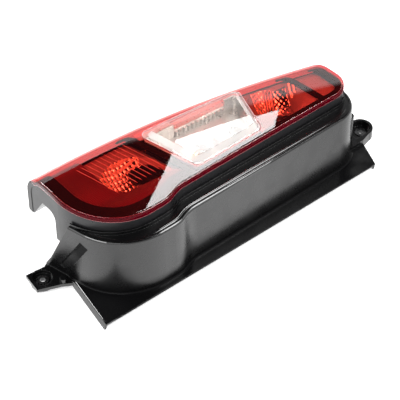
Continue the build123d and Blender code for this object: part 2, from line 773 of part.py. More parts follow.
# Housing: the deep tub, the shallow far part and the collar under the lens
with BuildPart() as lamp_housing:
    with BuildSketch(Plane.XY.offset(TUB_BACK)):
        add(tub_outline(0))
    extrude(amount=CROWN_TOP - TUB_BACK)
    with BuildSketch(Plane.XY.offset(COLLAR_BOTTOM)):
        add(rim_outline(HOUSING_STEP))
    extrude(amount=CROWN_TOP - COLLAR_BOTTOM)
    add(canopy(0))
    add(arch_cove())
    add(under_lens(RIM_HEIGHT, -1, TUB_BACK - 5), mode=Mode.INTERSECT)
    add(end_cheek())
    with BuildSketch(Plane.XY.offset(TUB_FLOOR)):
        add(tub_outline(HOUSING_WALL))
    extrude(amount=CROWN_TOP, mode=Mode.SUBTRACT)
    with BuildSketch(Plane.XY.offset(COLLAR_BOTTOM + HOUSING_WALL)):
        add(rim_outline(HOUSING_STEP + HOUSING_WALL))
    extrude(amount=CROWN_TOP, mode=Mode.SUBTRACT)
    add(canopy(HOUSING_WALL), mode=Mode.SUBTRACT)
    # Lugs that carry the shroud's screws
    for x, y in SHROUD_SCREWS:
        wall_y = RIM_NEAR + HOUSING_STEP - (BELLY_DEPTH if x < BLEND_X else 0)
        with BuildSketch(Plane.XY.offset(BOSS_FOOT - LUG_WALL)):
            with Locations((x, (wall_y + 1.5 + y) / 2)):
                Rectangle(13, wall_y + 1.5 - y)
            with Locations((x, y)):
                Circle(6.5)
        extrude(amount=LUG_WALL)
    with BuildSketch(Plane.XY.offset(BOSS_FOOT - LUG_WALL)):
        with Locations(*SHROUD_SCREWS):
            Circle(SCREW_R + 0.5)
    extrude(amount=LUG_WALL, mode=Mode.SUBTRACT)
    # Bosses for the carrier's screws and the pegs, and the vent stub
    with BuildSketch(Plane.XY.offset(CARRIER_TOP)):
        with Locations(*CARRIER_SCREWS):
            Circle(5.5)
    extrude(amount=SEAL_WALL + 13)
    with BuildSketch(Plane.XY.offset(TUB_BACK - 8)):
        with Locations(*PEGS):
            Circle(6.4)
    extrude(amount=8 + HOUSING_WALL)
    with BuildSketch(Plane.XY.offset(TUB_BACK - 6)):
        with Locations(BREATHER):
            Circle(4)
    extrude(amount=6 + HOUSING_WALL)
    with BuildSketch(Plane.XY.offset(TUB_BACK - 6)):
        with Locations(BREATHER):
            Circle(2)
    extrude(amount=12, mode=Mode.SUBTRACT)
    with BuildSketch(Plane.XY.offset(CARRIER_TOP)):
        with Locations(*CARRIER_SCREWS):
            Circle(SCREW_R)
    extrude(amount=SEAL_WALL + 11, mode=Mode.SUBTRACT)
    with BuildSketch(Plane.XY.offset(TUB_BACK - 8)):
        with Locations(*PEGS):
            Circle(3.15)
    extrude(amount=8, mode=Mode.SUBTRACT)
    with BuildSketch(Plane.XY.offset(TUB_BACK)):
        with Locations(*BULBS):
            Circle(TUB_HOLE_R)
    extrude(amount=HOUSING_WALL, mode=Mode.SUBTRACT)
lamp_housing.part.label = "lamp_housing"
export_step(lamp_housing.part, "parts/lamp_housing.step")

# Side shroud: shelf, flared wall, flange, lips, arm with its channel, tabs and screw bosses
with BuildPart() as side_shroud:
    add(shroud_core(0, FLANGE_TOP - FLANGE_WALL, SHELF_TOP + RIDGE_HEIGHT - RIDGE_R))
    add(ridge_crown())
    with BuildSketch(Plane.XY.offset(SHELF_TOP)):
        add(shroud_outline(RIDGE_WIDTH))
    extrude(amount=10, mode=Mode.SUBTRACT)
    with BuildSketch(Plane.XY.offset(FLANGE_TOP - FLANGE_WALL)):
        with BuildLine():
            Polyline(*FLANGE_CORNERS, (SHROUD_RIGHT - 10, RIM_NEAR), (BELLY_X, RIM_NEAR), close=True)
        make_face()
    extrude(amount=FLANGE_WALL)
    add(foot_cove())
    add(shroud_core(SHROUD_WALL, FLANGE_TOP - FLANGE_WALL - 1, SHELF_TOP - SHROUD_WALL), mode=Mode.SUBTRACT)
    with BuildSketch(Plane.XY.offset(SHELF_TOP - 6)):
        add(rim_outline(-HOUSING_STEP))
    extrude(amount=20, mode=Mode.SUBTRACT)
    add(channel_pad())
    with BuildSketch(CHANNEL_PLANE):
        with BuildLine():
            Polyline(
                (0, -CHANNEL_FLOOR),
                (0, -CHANNEL_FLOOR + 40),
                (CHANNEL_LENGTH, -CHANNEL_FLOOR + 40),
                (CHANNEL_LENGTH, -CHANNEL_FLOOR + CHANNEL_RUNOUT),
                close=True,
            )
        make_face()
    extrude(amount=CHANNEL_WIDTH / 2, both=True, mode=Mode.SUBTRACT)
    with BuildSketch(Plane.XY.offset(SHELF_TOP - 1)):
        add(rim_outline(-HOUSING_STEP - 1.8))
        add(rim_outline(-HOUSING_STEP), mode=Mode.SUBTRACT)
        add(shroud_outline(0), mode=Mode.INTERSECT)
    extrude(amount=UPSTAND_HEIGHT + 1)
    with BuildSketch(Plane.YZ.offset(RIM_LEFT - 80)):
        with BuildLine():
            Polyline(
                (ARM_TOP_Y, SHELF_TOP + 40),
                (ARM_TOP_Y, SHELF_TOP),
                (ARM_FOOT_Y - 8, 26),
                (ARM_FOOT_Y, 12),
                (ARM_FOOT_Y, -20),
                (ARM_FOOT_Y + 90, -20),
                (ARM_FOOT_Y + 90, SHELF_TOP + 40),
                close=True,
            )
        make_face()
    extrude(amount=SHROUD_RIGHT - RIM_LEFT, mode=Mode.SUBTRACT)
    with BuildSketch(Plane.XY.offset(-20)):
        with BuildLine():
            Polyline(
                (SHROUD_RIGHT - 60, RIM_NEAR + 34),
                (SHROUD_RIGHT + 30, RIM_NEAR + 34),
                (SHROUD_RIGHT + 30, ARM_FOOT_Y + 90),
                (SHROUD_RIGHT - 110, ARM_FOOT_Y + 90),
                close=True,
            )
        make_face()
    extrude(amount=SHELF_TOP + 60, mode=Mode.SUBTRACT)
    # Lips that turn down at the two ends of the flange
    left_far, left_near, right_near, right_far = FLANGE_CORNERS
    for ends, side, lean in (((left_far, left_near), 1, -2.5), ((right_far, right_near), -1, -1.5)):
        for z, shift in ((FLANGE_TOP, 0), (0, lean)):
            with BuildSketch(Plane.XY.offset(z)):
                with BuildLine():
                    Polyline(
                        (ends[0][0] + shift, ends[0][1]),
                        (ends[1][0] + shift, ends[1][1]),
                        (ends[1][0] + shift + side * FLANGE_WALL, ends[1][1]),
                        (ends[0][0] + shift + side * FLANGE_WALL, ends[0][1]),
                        close=True,
                    )
                make_face()
        loft(ruled=True)
    # Left tab: a plate with a sunk cup round its screw
    with BuildSketch(Plane.XY.offset(TAB_TOP - TAB_PLATE)):
        with BuildLine():
            Polyline(*LEFT_TAB, close=True)
        make_face()
    extrude(amount=TAB_PLATE)
    with BuildSketch(Plane.XY):
        with Locations(LEFT_SCREW):
            Circle(RECESS_R + 2.4)
    extrude(amount=TAB_TOP)
    with BuildSketch(Plane.XY.offset(TAB_TOP - TAB_PLATE)):
        with Locations((LEFT_TAB[2][0] + 4, LEFT_TAB[2][1] + 3)):
            Circle(4.2)
    extrude(amount=TAB_PLATE + 6)
    # Right tab: a rounded cup with a raised rim, and the column at the end of the wall
    with BuildSketch(Plane.XY):
        with BuildLine():
            Polyline(
                (SHROUD_RIGHT - 6, RIGHT_SCREW[1] + CUP_R),
                (RIGHT_SCREW[0], RIGHT_SCREW[1] + CUP_R),
                (RIGHT_SCREW[0], RIGHT_SCREW[1] - CUP_R),
                FLANGE_CORNERS[3],
                (SHROUD_RIGHT - 12, FLANGE_CORNERS[3][1]),
                close=True,
            )
        make_face()
        with Locations(RIGHT_SCREW):
            Circle(CUP_R)
    extrude(amount=CUP_TOP)
    with BuildSketch(Plane.XY.offset(TAB_FLOOR)):
        with Locations(RIGHT_SCREW):
            Circle(CUP_R - 3)
        with Locations(((RIGHT_SCREW[0] + SHROUD_RIGHT + 12) / 2, RIGHT_SCREW[1])):
            Rectangle(RIGHT_SCREW[0] - SHROUD_RIGHT - 12, 2 * CUP_R - 6)
    extrude(amount=CUP_TOP, mode=Mode.SUBTRACT)
    with BuildSketch(Plane.XY):
        with Locations((SHROUD_RIGHT + 1.7, RIM_NEAR + 6.8)):
            Circle(6.5)
    extrude(amount=56)
    with BuildSketch(Plane.XY.offset(TAB_FLOOR)):
        with Locations(LEFT_SCREW):
            Circle(RECESS_R)
    extrude(amount=TAB_TOP, mode=Mode.SUBTRACT)
    with BuildSketch(Plane.XY):
        with Locations(LEFT_SCREW, RIGHT_SCREW):
            Circle(SLEEVE_R + 0.1)
    extrude(amount=TAB_TOP, mode=Mode.SUBTRACT)
    # Bosses under the shelf for the screws that hold the shroud to the housing
    with BuildSketch(Plane.XY.offset(BOSS_FOOT)):
        with Locations(*SHROUD_SCREWS):
            Circle(BOSS_R)
    extrude(amount=SHELF_TOP - 1 - BOSS_FOOT)
    with BuildSketch(Plane.XY.offset(BOSS_FOOT)):
        with Locations(*SHROUD_SCREWS):
            Circle(SCREW_R)
    extrude(amount=14, mode=Mode.SUBTRACT)
side_shroud.part.label = "side_shroud"
export_step(side_shroud.part, "parts/side_shroud.step")

# Black mask inside the lens rim, with the bar beside the window and the bar of the upper chamber
with BuildPart() as inner_bezel:
    with BuildSketch(Plane.XY.offset(BEZEL_LOW)):
        add(rim_outline(LENS_WALL + 0.2))
        add(lower_opening(BEZEL_WIDE), mode=Mode.SUBTRACT)
        add(window_side(-BAR_GAP, 2, WINDOW_NEAR - 2), mode=Mode.SUBTRACT)
        add(upper_opening(BEZEL_NARROW), mode=Mode.SUBTRACT)
    extrude(amount=CROWN_TOP - BEZEL_LOW)
    add(under_lens(BEZEL_TOP, -1, BEZEL_LOW - 1), mode=Mode.INTERSECT)
    add(under_lens(BEZEL_TOP + BEZEL_WALL, -1, BEZEL_LOW - 1), mode=Mode.SUBTRACT)
inner_bezel.part.label = "inner_bezel"
export_step(inner_bezel.part, "parts/inner_bezel.step")

# Prism plate of the lower chamber, tucked under the mask
with BuildPart() as reflex_reflector:
    with BuildSketch(Plane.XY.offset(BEZEL_LOW)):
        add(lower_opening(BEZEL_WIDE - 3))
        add(reflex_inside(), mode=Mode.SUBTRACT)
    extrude(amount=CROWN_TOP - BEZEL_LOW)
    add(under_lens(BEZEL_TOP + BEZEL_WALL, -1, BEZEL_LOW - 1), mode=Mode.INTERSECT)
    add(under_lens(BEZEL_TOP + BEZEL_WALL + REFLEX_WALL, -1, BEZEL_LOW - 1), mode=Mode.SUBTRACT)
reflex_reflector.part.label = "reflex_reflector"
export_step(reflex_reflector.part, "parts/reflex_reflector.step")

# Reflectors
with BuildPart() as lower_reflector:
    lower_depth = BEZEL_TOP + BEZEL_WALL + REFLEX_WALL + SURROUND_GAP
    add(reflector_surround(lower_opening(BEZEL_WIDE - 3), lower_depth))
    add(bowl_solid(STOP_BULB, STOP_FOCUS, STOP_REACH), mode=Mode.SUBTRACT)
    add(bowl_shell(STOP_BULB, STOP_FOCUS, STOP_REACH, lower_plan()))
    add(under_lens(lower_depth, -1, TUB_BACK), mode=Mode.INTERSECT)
lower_reflector.part.label = "lower_reflector"
export_step(lower_reflector.part, "parts/lower_reflector.step")

with BuildPart() as upper_reflector:
    upper_depth = BEZEL_TOP + BEZEL_WALL + SURROUND_GAP
    add(reflector_surround(upper_opening(BEZEL_NARROW - 3), upper_depth))
    add(bowl_solid(TAIL_BULB, TAIL_FOCUS, TAIL_REACH), mode=Mode.SUBTRACT)
    add(bowl_shell(TAIL_BULB, TAIL_FOCUS, TAIL_REACH, upper_plan()))
    add(under_lens(upper_depth, -1, TUB_BACK), mode=Mode.INTERSECT)
upper_reflector.part.label = "upper_reflector"
export_step(upper_reflector.part, "parts/upper_reflector.step")

# Window reflector: two bowls in a floor, walls up to the lens, a fluted sill on the far side
with BuildPart() as reverse_reflector:
    floor_reach = math.sqrt(4 * WINDOW_FOCUS * (WINDOW_FLOOR - BOWL_VERTEX))
    with BuildSketch(Plane.XY.offset(WINDOW_FLOOR - REFLECTOR_WALL)):
        add(window_outline(2.6))
    extrude(amount=WINDOW_WALL_TOP - WINDOW_FLOOR + REFLECTOR_WALL)
    with BuildSketch(Plane.XY.offset(WINDOW_FLOOR)):
        add(window_outline(2.6 + REFLECTOR_WALL))
    extrude(amount=WINDOW_WALL_TOP, mode=Mode.SUBTRACT)
    with BuildSketch(Plane.XY.offset(STRIP_SILL)):
        with Locations(((STRIP_LEFT + STRIP_RIGHT) / 2, WINDOW_FAR_LEFT[1])):
            Rectangle(STRIP_RIGHT - STRIP_LEFT, 34)
    extrude(amount=WINDOW_WALL_TOP, mode=Mode.SUBTRACT)
    flutes = 12
    sill_slope = (WINDOW_FAR_RIGHT[1] - WINDOW_FAR_LEFT[1]) / (WINDOW_FAR_RIGHT[0] - WINDOW_FAR_LEFT[0])
    with BuildSketch(Plane.XY.offset(WINDOW_FLOOR)):
        for i in range(flutes):
            x = STRIP_LEFT + (STRIP_RIGHT - STRIP_LEFT) * (i + 0.5) / flutes
            y = WINDOW_FAR_LEFT[1] + sill_slope * (x - WINDOW_FAR_LEFT[0]) - 2.6 - REFLECTOR_WALL
            with Locations((x, y)):
                Circle(2.2)
    extrude(amount=STRIP_SILL - WINDOW_FLOOR - 1)
    for centre in (TURN_BULB, REVERSE_BULB):
        add(bowl_shell(centre, WINDOW_FOCUS, floor_reach, round_plan(centre, floor_reach)))
    for centre in (TURN_BULB, REVERSE_BULB):
        add(bowl_hollow(centre, WINDOW_FOCUS, floor_reach), mode=Mode.SUBTRACT)
        with BuildSketch(Plane.XY.offset(TUB_FLOOR)):
            with Locations(centre):
                Circle(BULB_HOLE_R)
        extrude(amount=WINDOW_WALL_TOP, mode=Mode.SUBTRACT)
reverse_reflector.part.label = "reverse_reflector"
export_step(reverse_reflector.part, "parts/reverse_reflector.step")

# Black ribbed block standing in the lower bowl
with BuildPart() as louvre_insert:
    add(louvre_block())
    add(bowl_solid(STOP_BULB, STOP_FOCUS, STOP_REACH), mode=Mode.INTERSECT)
louvre_insert.part.label = "louvre_insert"
export_step(louvre_insert.part, "parts/louvre_insert.step")

# Bulbs, each a glass on a cap
with BuildPart() as stop_bulb_glass:
    add(bulb_glass(STOP_BULB))
stop_bulb_glass.part.label = "stop_bulb_glass"
export_step(stop_bulb_glass.part, "parts/stop_bulb_glass.step")

with BuildPart() as turn_bulb_glass:
    add(bulb_glass(TURN_BULB))
turn_bulb_glass.part.label = "turn_bulb_glass"
export_step(turn_bulb_glass.part, "parts/turn_bulb_glass.step")

with BuildPart() as reverse_bulb_glass:
    add(bulb_glass(REVERSE_BULB))
reverse_bulb_glass.part.label = "reverse_bulb_glass"
export_step(reverse_bulb_glass.part, "parts/reverse_bulb_glass.step")

with BuildPart() as tail_bulb_glass:
    add(bulb_glass(TAIL_BULB))
tail_bulb_glass.part.label = "tail_bulb_glass"
export_step(tail_bulb_glass.part, "parts/tail_bulb_glass.step")

with BuildPart() as stop_bulb_cap:
    add(bulb_cap(STOP_BULB))
stop_bulb_cap.part.label = "stop_bulb_cap"
export_step(stop_bulb_cap.part, "parts/stop_bulb_cap.step")

with BuildPart() as turn_bulb_cap:
    add(bulb_cap(TURN_BULB))
turn_bulb_cap.part.label = "turn_bulb_cap"
export_step(turn_bulb_cap.part, "parts/turn_bulb_cap.step")

with BuildPart() as reverse_bulb_cap:
    add(bulb_cap(REVERSE_BULB))
reverse_bulb_cap.part.label = "reverse_bulb_cap"
export_step(reverse_bulb_cap.part, "parts/reverse_bulb_cap.step")

with BuildPart() as tail_bulb_cap:
    add(bulb_cap(TAIL_BULB))
tail_bulb_cap.part.label = "tail_bulb_cap"
export_step(tail_bulb_cap.part, "parts/tail_bulb_cap.step")

# Carrier: plate with two ears, four bulb holders and the connector socket
with BuildPart() as bulb_carrier:
    with BuildSketch(Plane.XY.offset(CARRIER_BACK)):
        with Locations((CARRIER_X, CARRIER_Y)):
            RectangleRounded(CARRIER_LENGTH, CARRIER_WIDTH, 6)
        with Locations(*CARRIER_SCREWS):
            Circle(6.5)
    extrude(amount=CARRIER_WALL)
    with BuildSketch(Plane.XY.offset(CARRIER_TOP - 1)):
        with Locations(*BULBS):
            Circle(HOLDER_R)
    extrude(amount=TUB_FLOOR + 6 - CARRIER_TOP + 1)
    with BuildSketch(Plane.XY.offset(CARRIER_TOP - 1)):
        with Locations(*BULBS):
            Circle(CAP_R + 0.1)
    extrude(amount=40, mode=Mode.SUBTRACT)
    with BuildSketch(Plane.XY.offset(CARRIER_BACK - SOCKET_DEPTH - SOCKET_WALL)):
        with Locations((SOCKET_X, CARRIER_Y)):
            RectangleRounded(SOCKET_LENGTH + 2 * SOCKET_WALL, SOCKET_WIDTH + 2 * SOCKET_WALL, 4)
    extrude(amount=SOCKET_DEPTH + SOCKET_WALL)
    with BuildSketch(Plane.XY.offset(CARRIER_BACK - SOCKET_DEPTH - SOCKET_WALL)):
        with Locations((SOCKET_X, CARRIER_Y)):
            RectangleRounded(SOCKET_LENGTH, SOCKET_WIDTH, 2)
    extrude(amount=SOCKET_DEPTH, mode=Mode.SUBTRACT)
    with BuildSketch(Plane.XY.offset(CARRIER_BACK)):
        with Locations(*CARRIER_SCREWS):
            Circle(SCREW_R + 0.4)
    extrude(amount=CARRIER_WALL, mode=Mode.SUBTRACT)
bulb_carrier.part.label = "bulb_carrier"
export_step(bulb_carrier.part, "parts/bulb_carrier.step")

# Foam ring between the carrier and the back of the housing
with BuildPart() as carrier_seal:
    with BuildSketch(Plane.XY.offset(CARRIER_TOP)):
        with Locations((CARRIER_X, CARRIER_Y)):
            RectangleRounded(CARRIER_LENGTH - 4, CARRIER_WIDTH - 4, 5)
            RectangleRounded(
                CARRIER_LENGTH - 4 - 2 * SEAL_WIDTH,
                CARRIER_WIDTH - 4 - 2 * SEAL_WIDTH,
                3,
                mode=Mode.SUBTRACT,
            )
    extrude(amount=SEAL_WALL)
carrier_seal.part.label = "carrier_seal"
export_step(carrier_seal.part, "parts/carrier_seal.step")

# Stamped strips on the back of the carrier
with BuildPart() as contact_tracks:
    with BuildSketch(Plane.XY.offset(CARRIER_BACK - TRACK_WALL)):
        for y in (CARRIER_Y - CARRIER_WIDTH / 2 + 6, CARRIER_Y + CARRIER_WIDTH / 2 - 6):
            with Locations(((STOP_BULB[0] + TAIL_BULB[0]) / 2, y)):
                Rectangle(TAIL_BULB[0] - STOP_BULB[0] + 12, 4)
        for x, y in BULBS:
            with Locations((x, y)):
                Circle(5)
    extrude(amount=TRACK_WALL)
contact_tracks.part.label = "contact_tracks"
export_step(contact_tracks.part, "parts/contact_tracks.step")

# Blades in the connector socket
with BuildPart() as connector_terminals:
    with BuildSketch(Plane.XY.offset(CARRIER_BACK - SOCKET_DEPTH - SOCKET_WALL + 4)):
        with Locations((SOCKET_X, CARRIER_Y)):
            with GridLocations(SOCKET_LENGTH / 6, 1, 5, 1):
                Rectangle(2.8, 0.9)
    extrude(amount=SOCKET_DEPTH - 4)
connector_terminals.part.label = "connector_terminals"
export_step(connector_terminals.part, "parts/connector_terminals.step")

# Screws: the carrier's two and the shroud's four
with BuildPart() as carrier_screws:
    with BuildSketch(Plane.XY.offset(CARRIER_BACK - 2.4)):
        with Locations(*CARRIER_SCREWS):
            Circle(SCREW_HEAD_R)
    extrude(amount=2.4)
    with BuildSketch(Plane.XY.offset(CARRIER_BACK)):
        with Locations(*CARRIER_SCREWS):
            Circle(SCREW_R - 0.05)
    extrude(amount=14)
carrier_screws.part.label = "carrier_screws"
export_step(carrier_screws.part, "parts/carrier_screws.step")

with BuildPart() as shroud_screws:
    with BuildSketch(Plane.XY.offset(BOSS_FOOT - LUG_WALL - 2.6)):
        with Locations(*SHROUD_SCREWS):
            Circle(SCREW_HEAD_R)
    extrude(amount=2.6)
    with BuildSketch(Plane.XY.offset(BOSS_FOOT - LUG_WALL)):
        with Locations(*SHROUD_SCREWS):
            Circle(SCREW_R - 0.05)
    extrude(amount=16)
shroud_screws.part.label = "shroud_screws"
export_step(shroud_screws.part, "parts/shroud_screws.step")

# Ball pegs that find the body on the outboard side
with BuildPart() as locating_pegs:
    for x, y in PEGS:
        neck_z = PEG_BALL_Z + math.sqrt(PEG_BALL_R**2 - PEG_NECK_R**2)
        with BuildSketch(upright((x, y))):
            with BuildLine():
                Polyline(
                    (0, PEG_BALL_Z - PEG_BALL_R),
                    (0, TUB_BACK),
                    (3.1, TUB_BACK),
                    (3.1, TUB_BACK - 8),
                    (6.4, TUB_BACK - 8),
                    (6.4, TUB_BACK - 11),
                    (PEG_R, TUB_BACK - 11),
                    (PEG_R, neck_z + 2),
                    (PEG_NECK_R, neck_z),
                )
                ThreePointArc(
                    (PEG_NECK_R, neck_z),
                    (PEG_BALL_R, PEG_BALL_Z),
                    (0, PEG_BALL_Z - PEG_BALL_R),
                )
            make_face()
        revolve(axis=Axis((x, y, 0), (0, 0, 1)))
locating_pegs.part.label = "locating_pegs"
export_step(locating_pegs.part, "parts/locating_pegs.step")

# Cap on the vent of the housing
with BuildPart() as breather_cap:
    with BuildSketch(Plane.XY.offset(TUB_BACK - 8)):
        with Locations(BREATHER):
            Circle(6)
    extrude(amount=7)
    with BuildSketch(Plane.XY.offset(TUB_BACK - 6)):
        with Locations(BREATHER):
            Circle(4.05)
    extrude(amount=6, mode=Mode.SUBTRACT)
breather_cap.part.label = "breather_cap"
export_step(breather_cap.part, "parts/breather_cap.step")

# Flanged bushes in the two tab holes
with BuildPart() as screw_sleeves:
    with BuildSketch(Plane.XY):
        with Locations(LEFT_SCREW, RIGHT_SCREW):
            Circle(SLEEVE_R)
    extrude(amount=TAB_FLOOR)
    with BuildSketch(Plane.XY.offset(TAB_FLOOR)):
        with Locations(LEFT_SCREW, RIGHT_SCREW):
            Circle(SLEEVE_R + 2.6)
    extrude(amount=1.2)
    with BuildSketch(Plane.XY):
        with Locations(LEFT_SCREW, RIGHT_SCREW):
            Circle(SLEEVE_BORE_R)
    extrude(amount=TAB_TOP, mode=Mode.SUBTRACT)
screw_sleeves.part.label = "screw_sleeves"
export_step(screw_sleeves.part, "parts/screw_sleeves.step")
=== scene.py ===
"""Looks of the tail light cluster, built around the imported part.

Lengths are millimetres, but metres in shaders, in the sizes of lamps, and for the floor and the camera.
"""

import math

import bpy
import numpy as np
from mathutils import Matrix


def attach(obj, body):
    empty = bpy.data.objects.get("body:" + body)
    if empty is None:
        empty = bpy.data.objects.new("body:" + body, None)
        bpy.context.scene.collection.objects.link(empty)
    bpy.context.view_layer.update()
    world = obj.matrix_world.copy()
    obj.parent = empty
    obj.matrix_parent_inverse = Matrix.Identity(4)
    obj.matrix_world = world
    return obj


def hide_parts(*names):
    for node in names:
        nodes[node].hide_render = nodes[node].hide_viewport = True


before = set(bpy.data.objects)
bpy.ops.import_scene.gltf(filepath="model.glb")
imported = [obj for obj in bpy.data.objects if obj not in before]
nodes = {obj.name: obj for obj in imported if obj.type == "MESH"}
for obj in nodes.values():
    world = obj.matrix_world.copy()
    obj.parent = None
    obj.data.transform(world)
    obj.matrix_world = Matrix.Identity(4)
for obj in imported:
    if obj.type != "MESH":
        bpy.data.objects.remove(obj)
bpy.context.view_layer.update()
MM = 0.001

# Lens
CROWN_TOP = 123
CROWN_Y = 45
CROWN_R = 700
SWEEP_X = -215
SWEEP_R = 1560
SWEEP_TILT = 0.1
ROLL_Y = 60
ROLL_R = 34
ROLL_END = 16
ROLL_SHARE = 0.8
LENS_INDEX = 1.49

# Window's far edge, and two bars in steps along it, by their near and far sides past the edge. The first bar,
# the sill, is pale and stands in as painted light for the white backdrop seen through the lens's far flap
WINDOW_FAR_LEFT = (-67, 58)
WINDOW_FAR_SLOPE = -0.0724
BACKLIGHT_SILL_SIDES = (3.2, 9.0)
TRAY_SIDES = (-4.0, 3.0)
BAR_STEPS = [(-66, -17), (-18, 64)]
BAR_LEVELS = [111.5, 102.5]
BAR_STATIONS = 30
BAR_WALL = 1.5

# Bowls
BULB_HOLE_R = 13.6
REFLECTOR_WALL = 2.2
TUBE_R = BULB_HOLE_R + REFLECTOR_WALL
TUBE_FOOT = 50.5
BOWL_VERTEX = 81
STOP_BULB = (-112, -4)
STOP_FOCUS = 22
STOP_REACH = 56
STOP_DEPTH = 13.5
TAIL_BULB = (116, -11)
TAIL_FOCUS = 21.5
TAIL_REACH = 54
TAIL_DEPTH = 10.5
BOWL_ANGLES = 480
DISH_STATIONS = 110
PLATE_STATIONS = 24
UNDER_STATIONS = 12
BACK_STATIONS = 14
BOWL_CREASE = 18
BOWL_PASSES = 5
EDGE_GAP = 1
PLATE_START = 0.02
OPTICS_EDGE = 0.05

# Rods, which the flutes, the bars and the beads are made of
ROD_CREASE = 60

# Flutes under the lens
FLUTE_COUNT = 11
FLUTE_LEFT, FLUTE_RIGHT = -144, -74
FLUTE_NEAR_Y = -6
FLUTE_LENGTH = 64
FLUTE_LEAN = 0.26
FLUTE_DEPTH = 3.3
FLUTE_R = 0.36
FLUTE_STATIONS = 40
FLUTE_SIDES = 8

# Shroud's upper edge
SHELF_TOP = 92
RIDGE_HEIGHT = 0.9
RIDGE_R = 2.6
WALL_Y = -62
BELLY_X, BELLY_Y = -128.5, -70.2
BELLY_R = 80
ARM_LEAN = math.radians(14.5)
ARM_RUN = 18.5
BEND_LEFT, BEND_RIGHT = -111.5, -72.5
BEND_R = 48.4
END_X = 168
END_R = 40
END_TURN = math.radians(75)

# Beads on the shelf and on the wall's corner
BEAD_STATIONS = 420
BEAD_OVER, BEAD_UNDER = 16, 10
SHELF_SWEEP = 66
CORNER_LOW, CORNER_HIGH = -8, 98
CORNER_NARROWER = 33
BEAD_R = [3.0, 2.75]
BEAD_INSET = [7.2, RIDGE_R]
BEAD_MIDDLE_Z = [SHELF_TOP - 1.2, SHELF_TOP + RIDGE_HEIGHT - RIDGE_R]
BEAD_SINK = [2.0, 0.7]
BEAD_WALL = 0.55
CORNER_WIDER = 3.25
DIAGONAL = 0.7071

# Shroud's painted shade in metres, made by cutting its gloss: the wall's root between its ends, and the
# channel of the arm
ROOT_SHADE_RISE = (0.010, 0.027)
ROOT_SHADE_GLOSS = 0.12
WALL_MIDDLE_X = -0.003
WALL_ENDS = (0.204, 0.211)
ARM_RIGHT = (-0.195, -0.19)
CHANNEL_TOP = (0, -0.0139, 0.0749)
CHANNEL_WAY = (0, 0.4827, -0.8758)
CHANNEL_ACROSS = (0, 0.8758, 0.4827)
CHANNEL_START = (-0.0005, 0.0005)
CHANNEL_SIDE = (0.0058, 0.0064)
CHANNEL_SHADE_FADE = (0.025, 0.066)

# Bead on the flange's left end
LIP_START = (-213, 4.8)
LIP_END = (-226.5, -79.7)
LIP_OUT = (-0.987, 0.158)
LIP_R = 2.0
LIP_INSET = 1.8
LIP_Z = 6.5
LIP_STATIONS = 40
LIP_SIDES = 20
LIP_MARGIN = 0.02


def add(tree, kind, inputs=None, **settings):
    """One shader node; inputs holds numbers, colours or the outputs that feed its sockets."""
    node = tree.nodes.new(kind)
    for key, value in settings.items():
        setattr(node, key, value)
    for key, value in (inputs or {}).items():
        socket = node.inputs[key]
        if isinstance(value, bpy.types.NodeSocket):
            tree.links.new(value, socket)
        else:
            socket.default_value = value
    return node


def blank(name):
    """An empty node material and its output node."""
    material = bpy.data.materials.new(name)
    material.use_nodes = True
    tree = material.node_tree
    tree.nodes.clear()
    return material, tree, add(tree, "ShaderNodeOutputMaterial")


def place(tree):
    """Object coordinates, which are metres in the part's own frame."""
    return add(tree, "ShaderNodeTexCoord").outputs["Object"]


def maths(tree, operation, first, second=0.0):
    """One Math node."""
    return add(tree, "ShaderNodeMath", {0: first, 1: second}, operation=operation).outputs[0]


def vector_dot(tree, first, second):
    """Dot product of two vectors."""
    return add(tree, "ShaderNodeVectorMath", {0: first, 1: second}, operation="DOT_PRODUCT").outputs["Value"]


def apart(tree, vector):
    """The X, Y and Z of a vector."""
    return add(tree, "ShaderNodeSeparateXYZ", {0: vector}).outputs


def noise(tree, coords, scale, detail=3.0, roughness=0.5):
    """Even noise between 0 and 1, scale in cells to the metre."""
    inputs = {"Vector": coords, "Scale": scale, "Detail": detail, "Roughness": roughness}
    return add(tree, "ShaderNodeTexNoise", inputs).outputs["Fac"]


def spread(tree, value, low, high, to_low, to_high):
    """A value carried from one range to another, held at the ends."""
    inputs = {"Value": value, "From Min": low, "From Max": high, "To Min": to_low, "To Max": to_high}
    return add(tree, "ShaderNodeMapRange", inputs).outputs["Result"]


def tint(tree, share, first, second):
    """Two colours mixed by a share."""
    node = add(tree, "ShaderNodeMix", {"Factor": share}, data_type="RGBA")
    node.inputs["A"].default_value = (*first, 1)
    node.inputs["B"].default_value = (*second, 1)
    return node.outputs["Result"]


def bumped(tree, height, depth, strength, normal=None):
    """A normal from a height between 0 and 1 that stands for depth in metres."""
    inputs = {"Height": height, "Distance": depth, "Strength": strength}
    if normal is not None:
        inputs["Normal"] = normal
    return add(tree, "ShaderNodeBump", inputs).outputs["Normal"]


def blend(tree, share, first, second):
    """Two shaders mixed by a share."""
    inputs = {0: share, 1: first.outputs[0], 2: second.outputs[0]}
    return add(tree, "ShaderNodeMixShader", inputs)


def flatness(tree, normal):
    """One on level faces and none on upright ones."""
    return maths(tree, "ABSOLUTE", apart(tree, normal)["Z"])


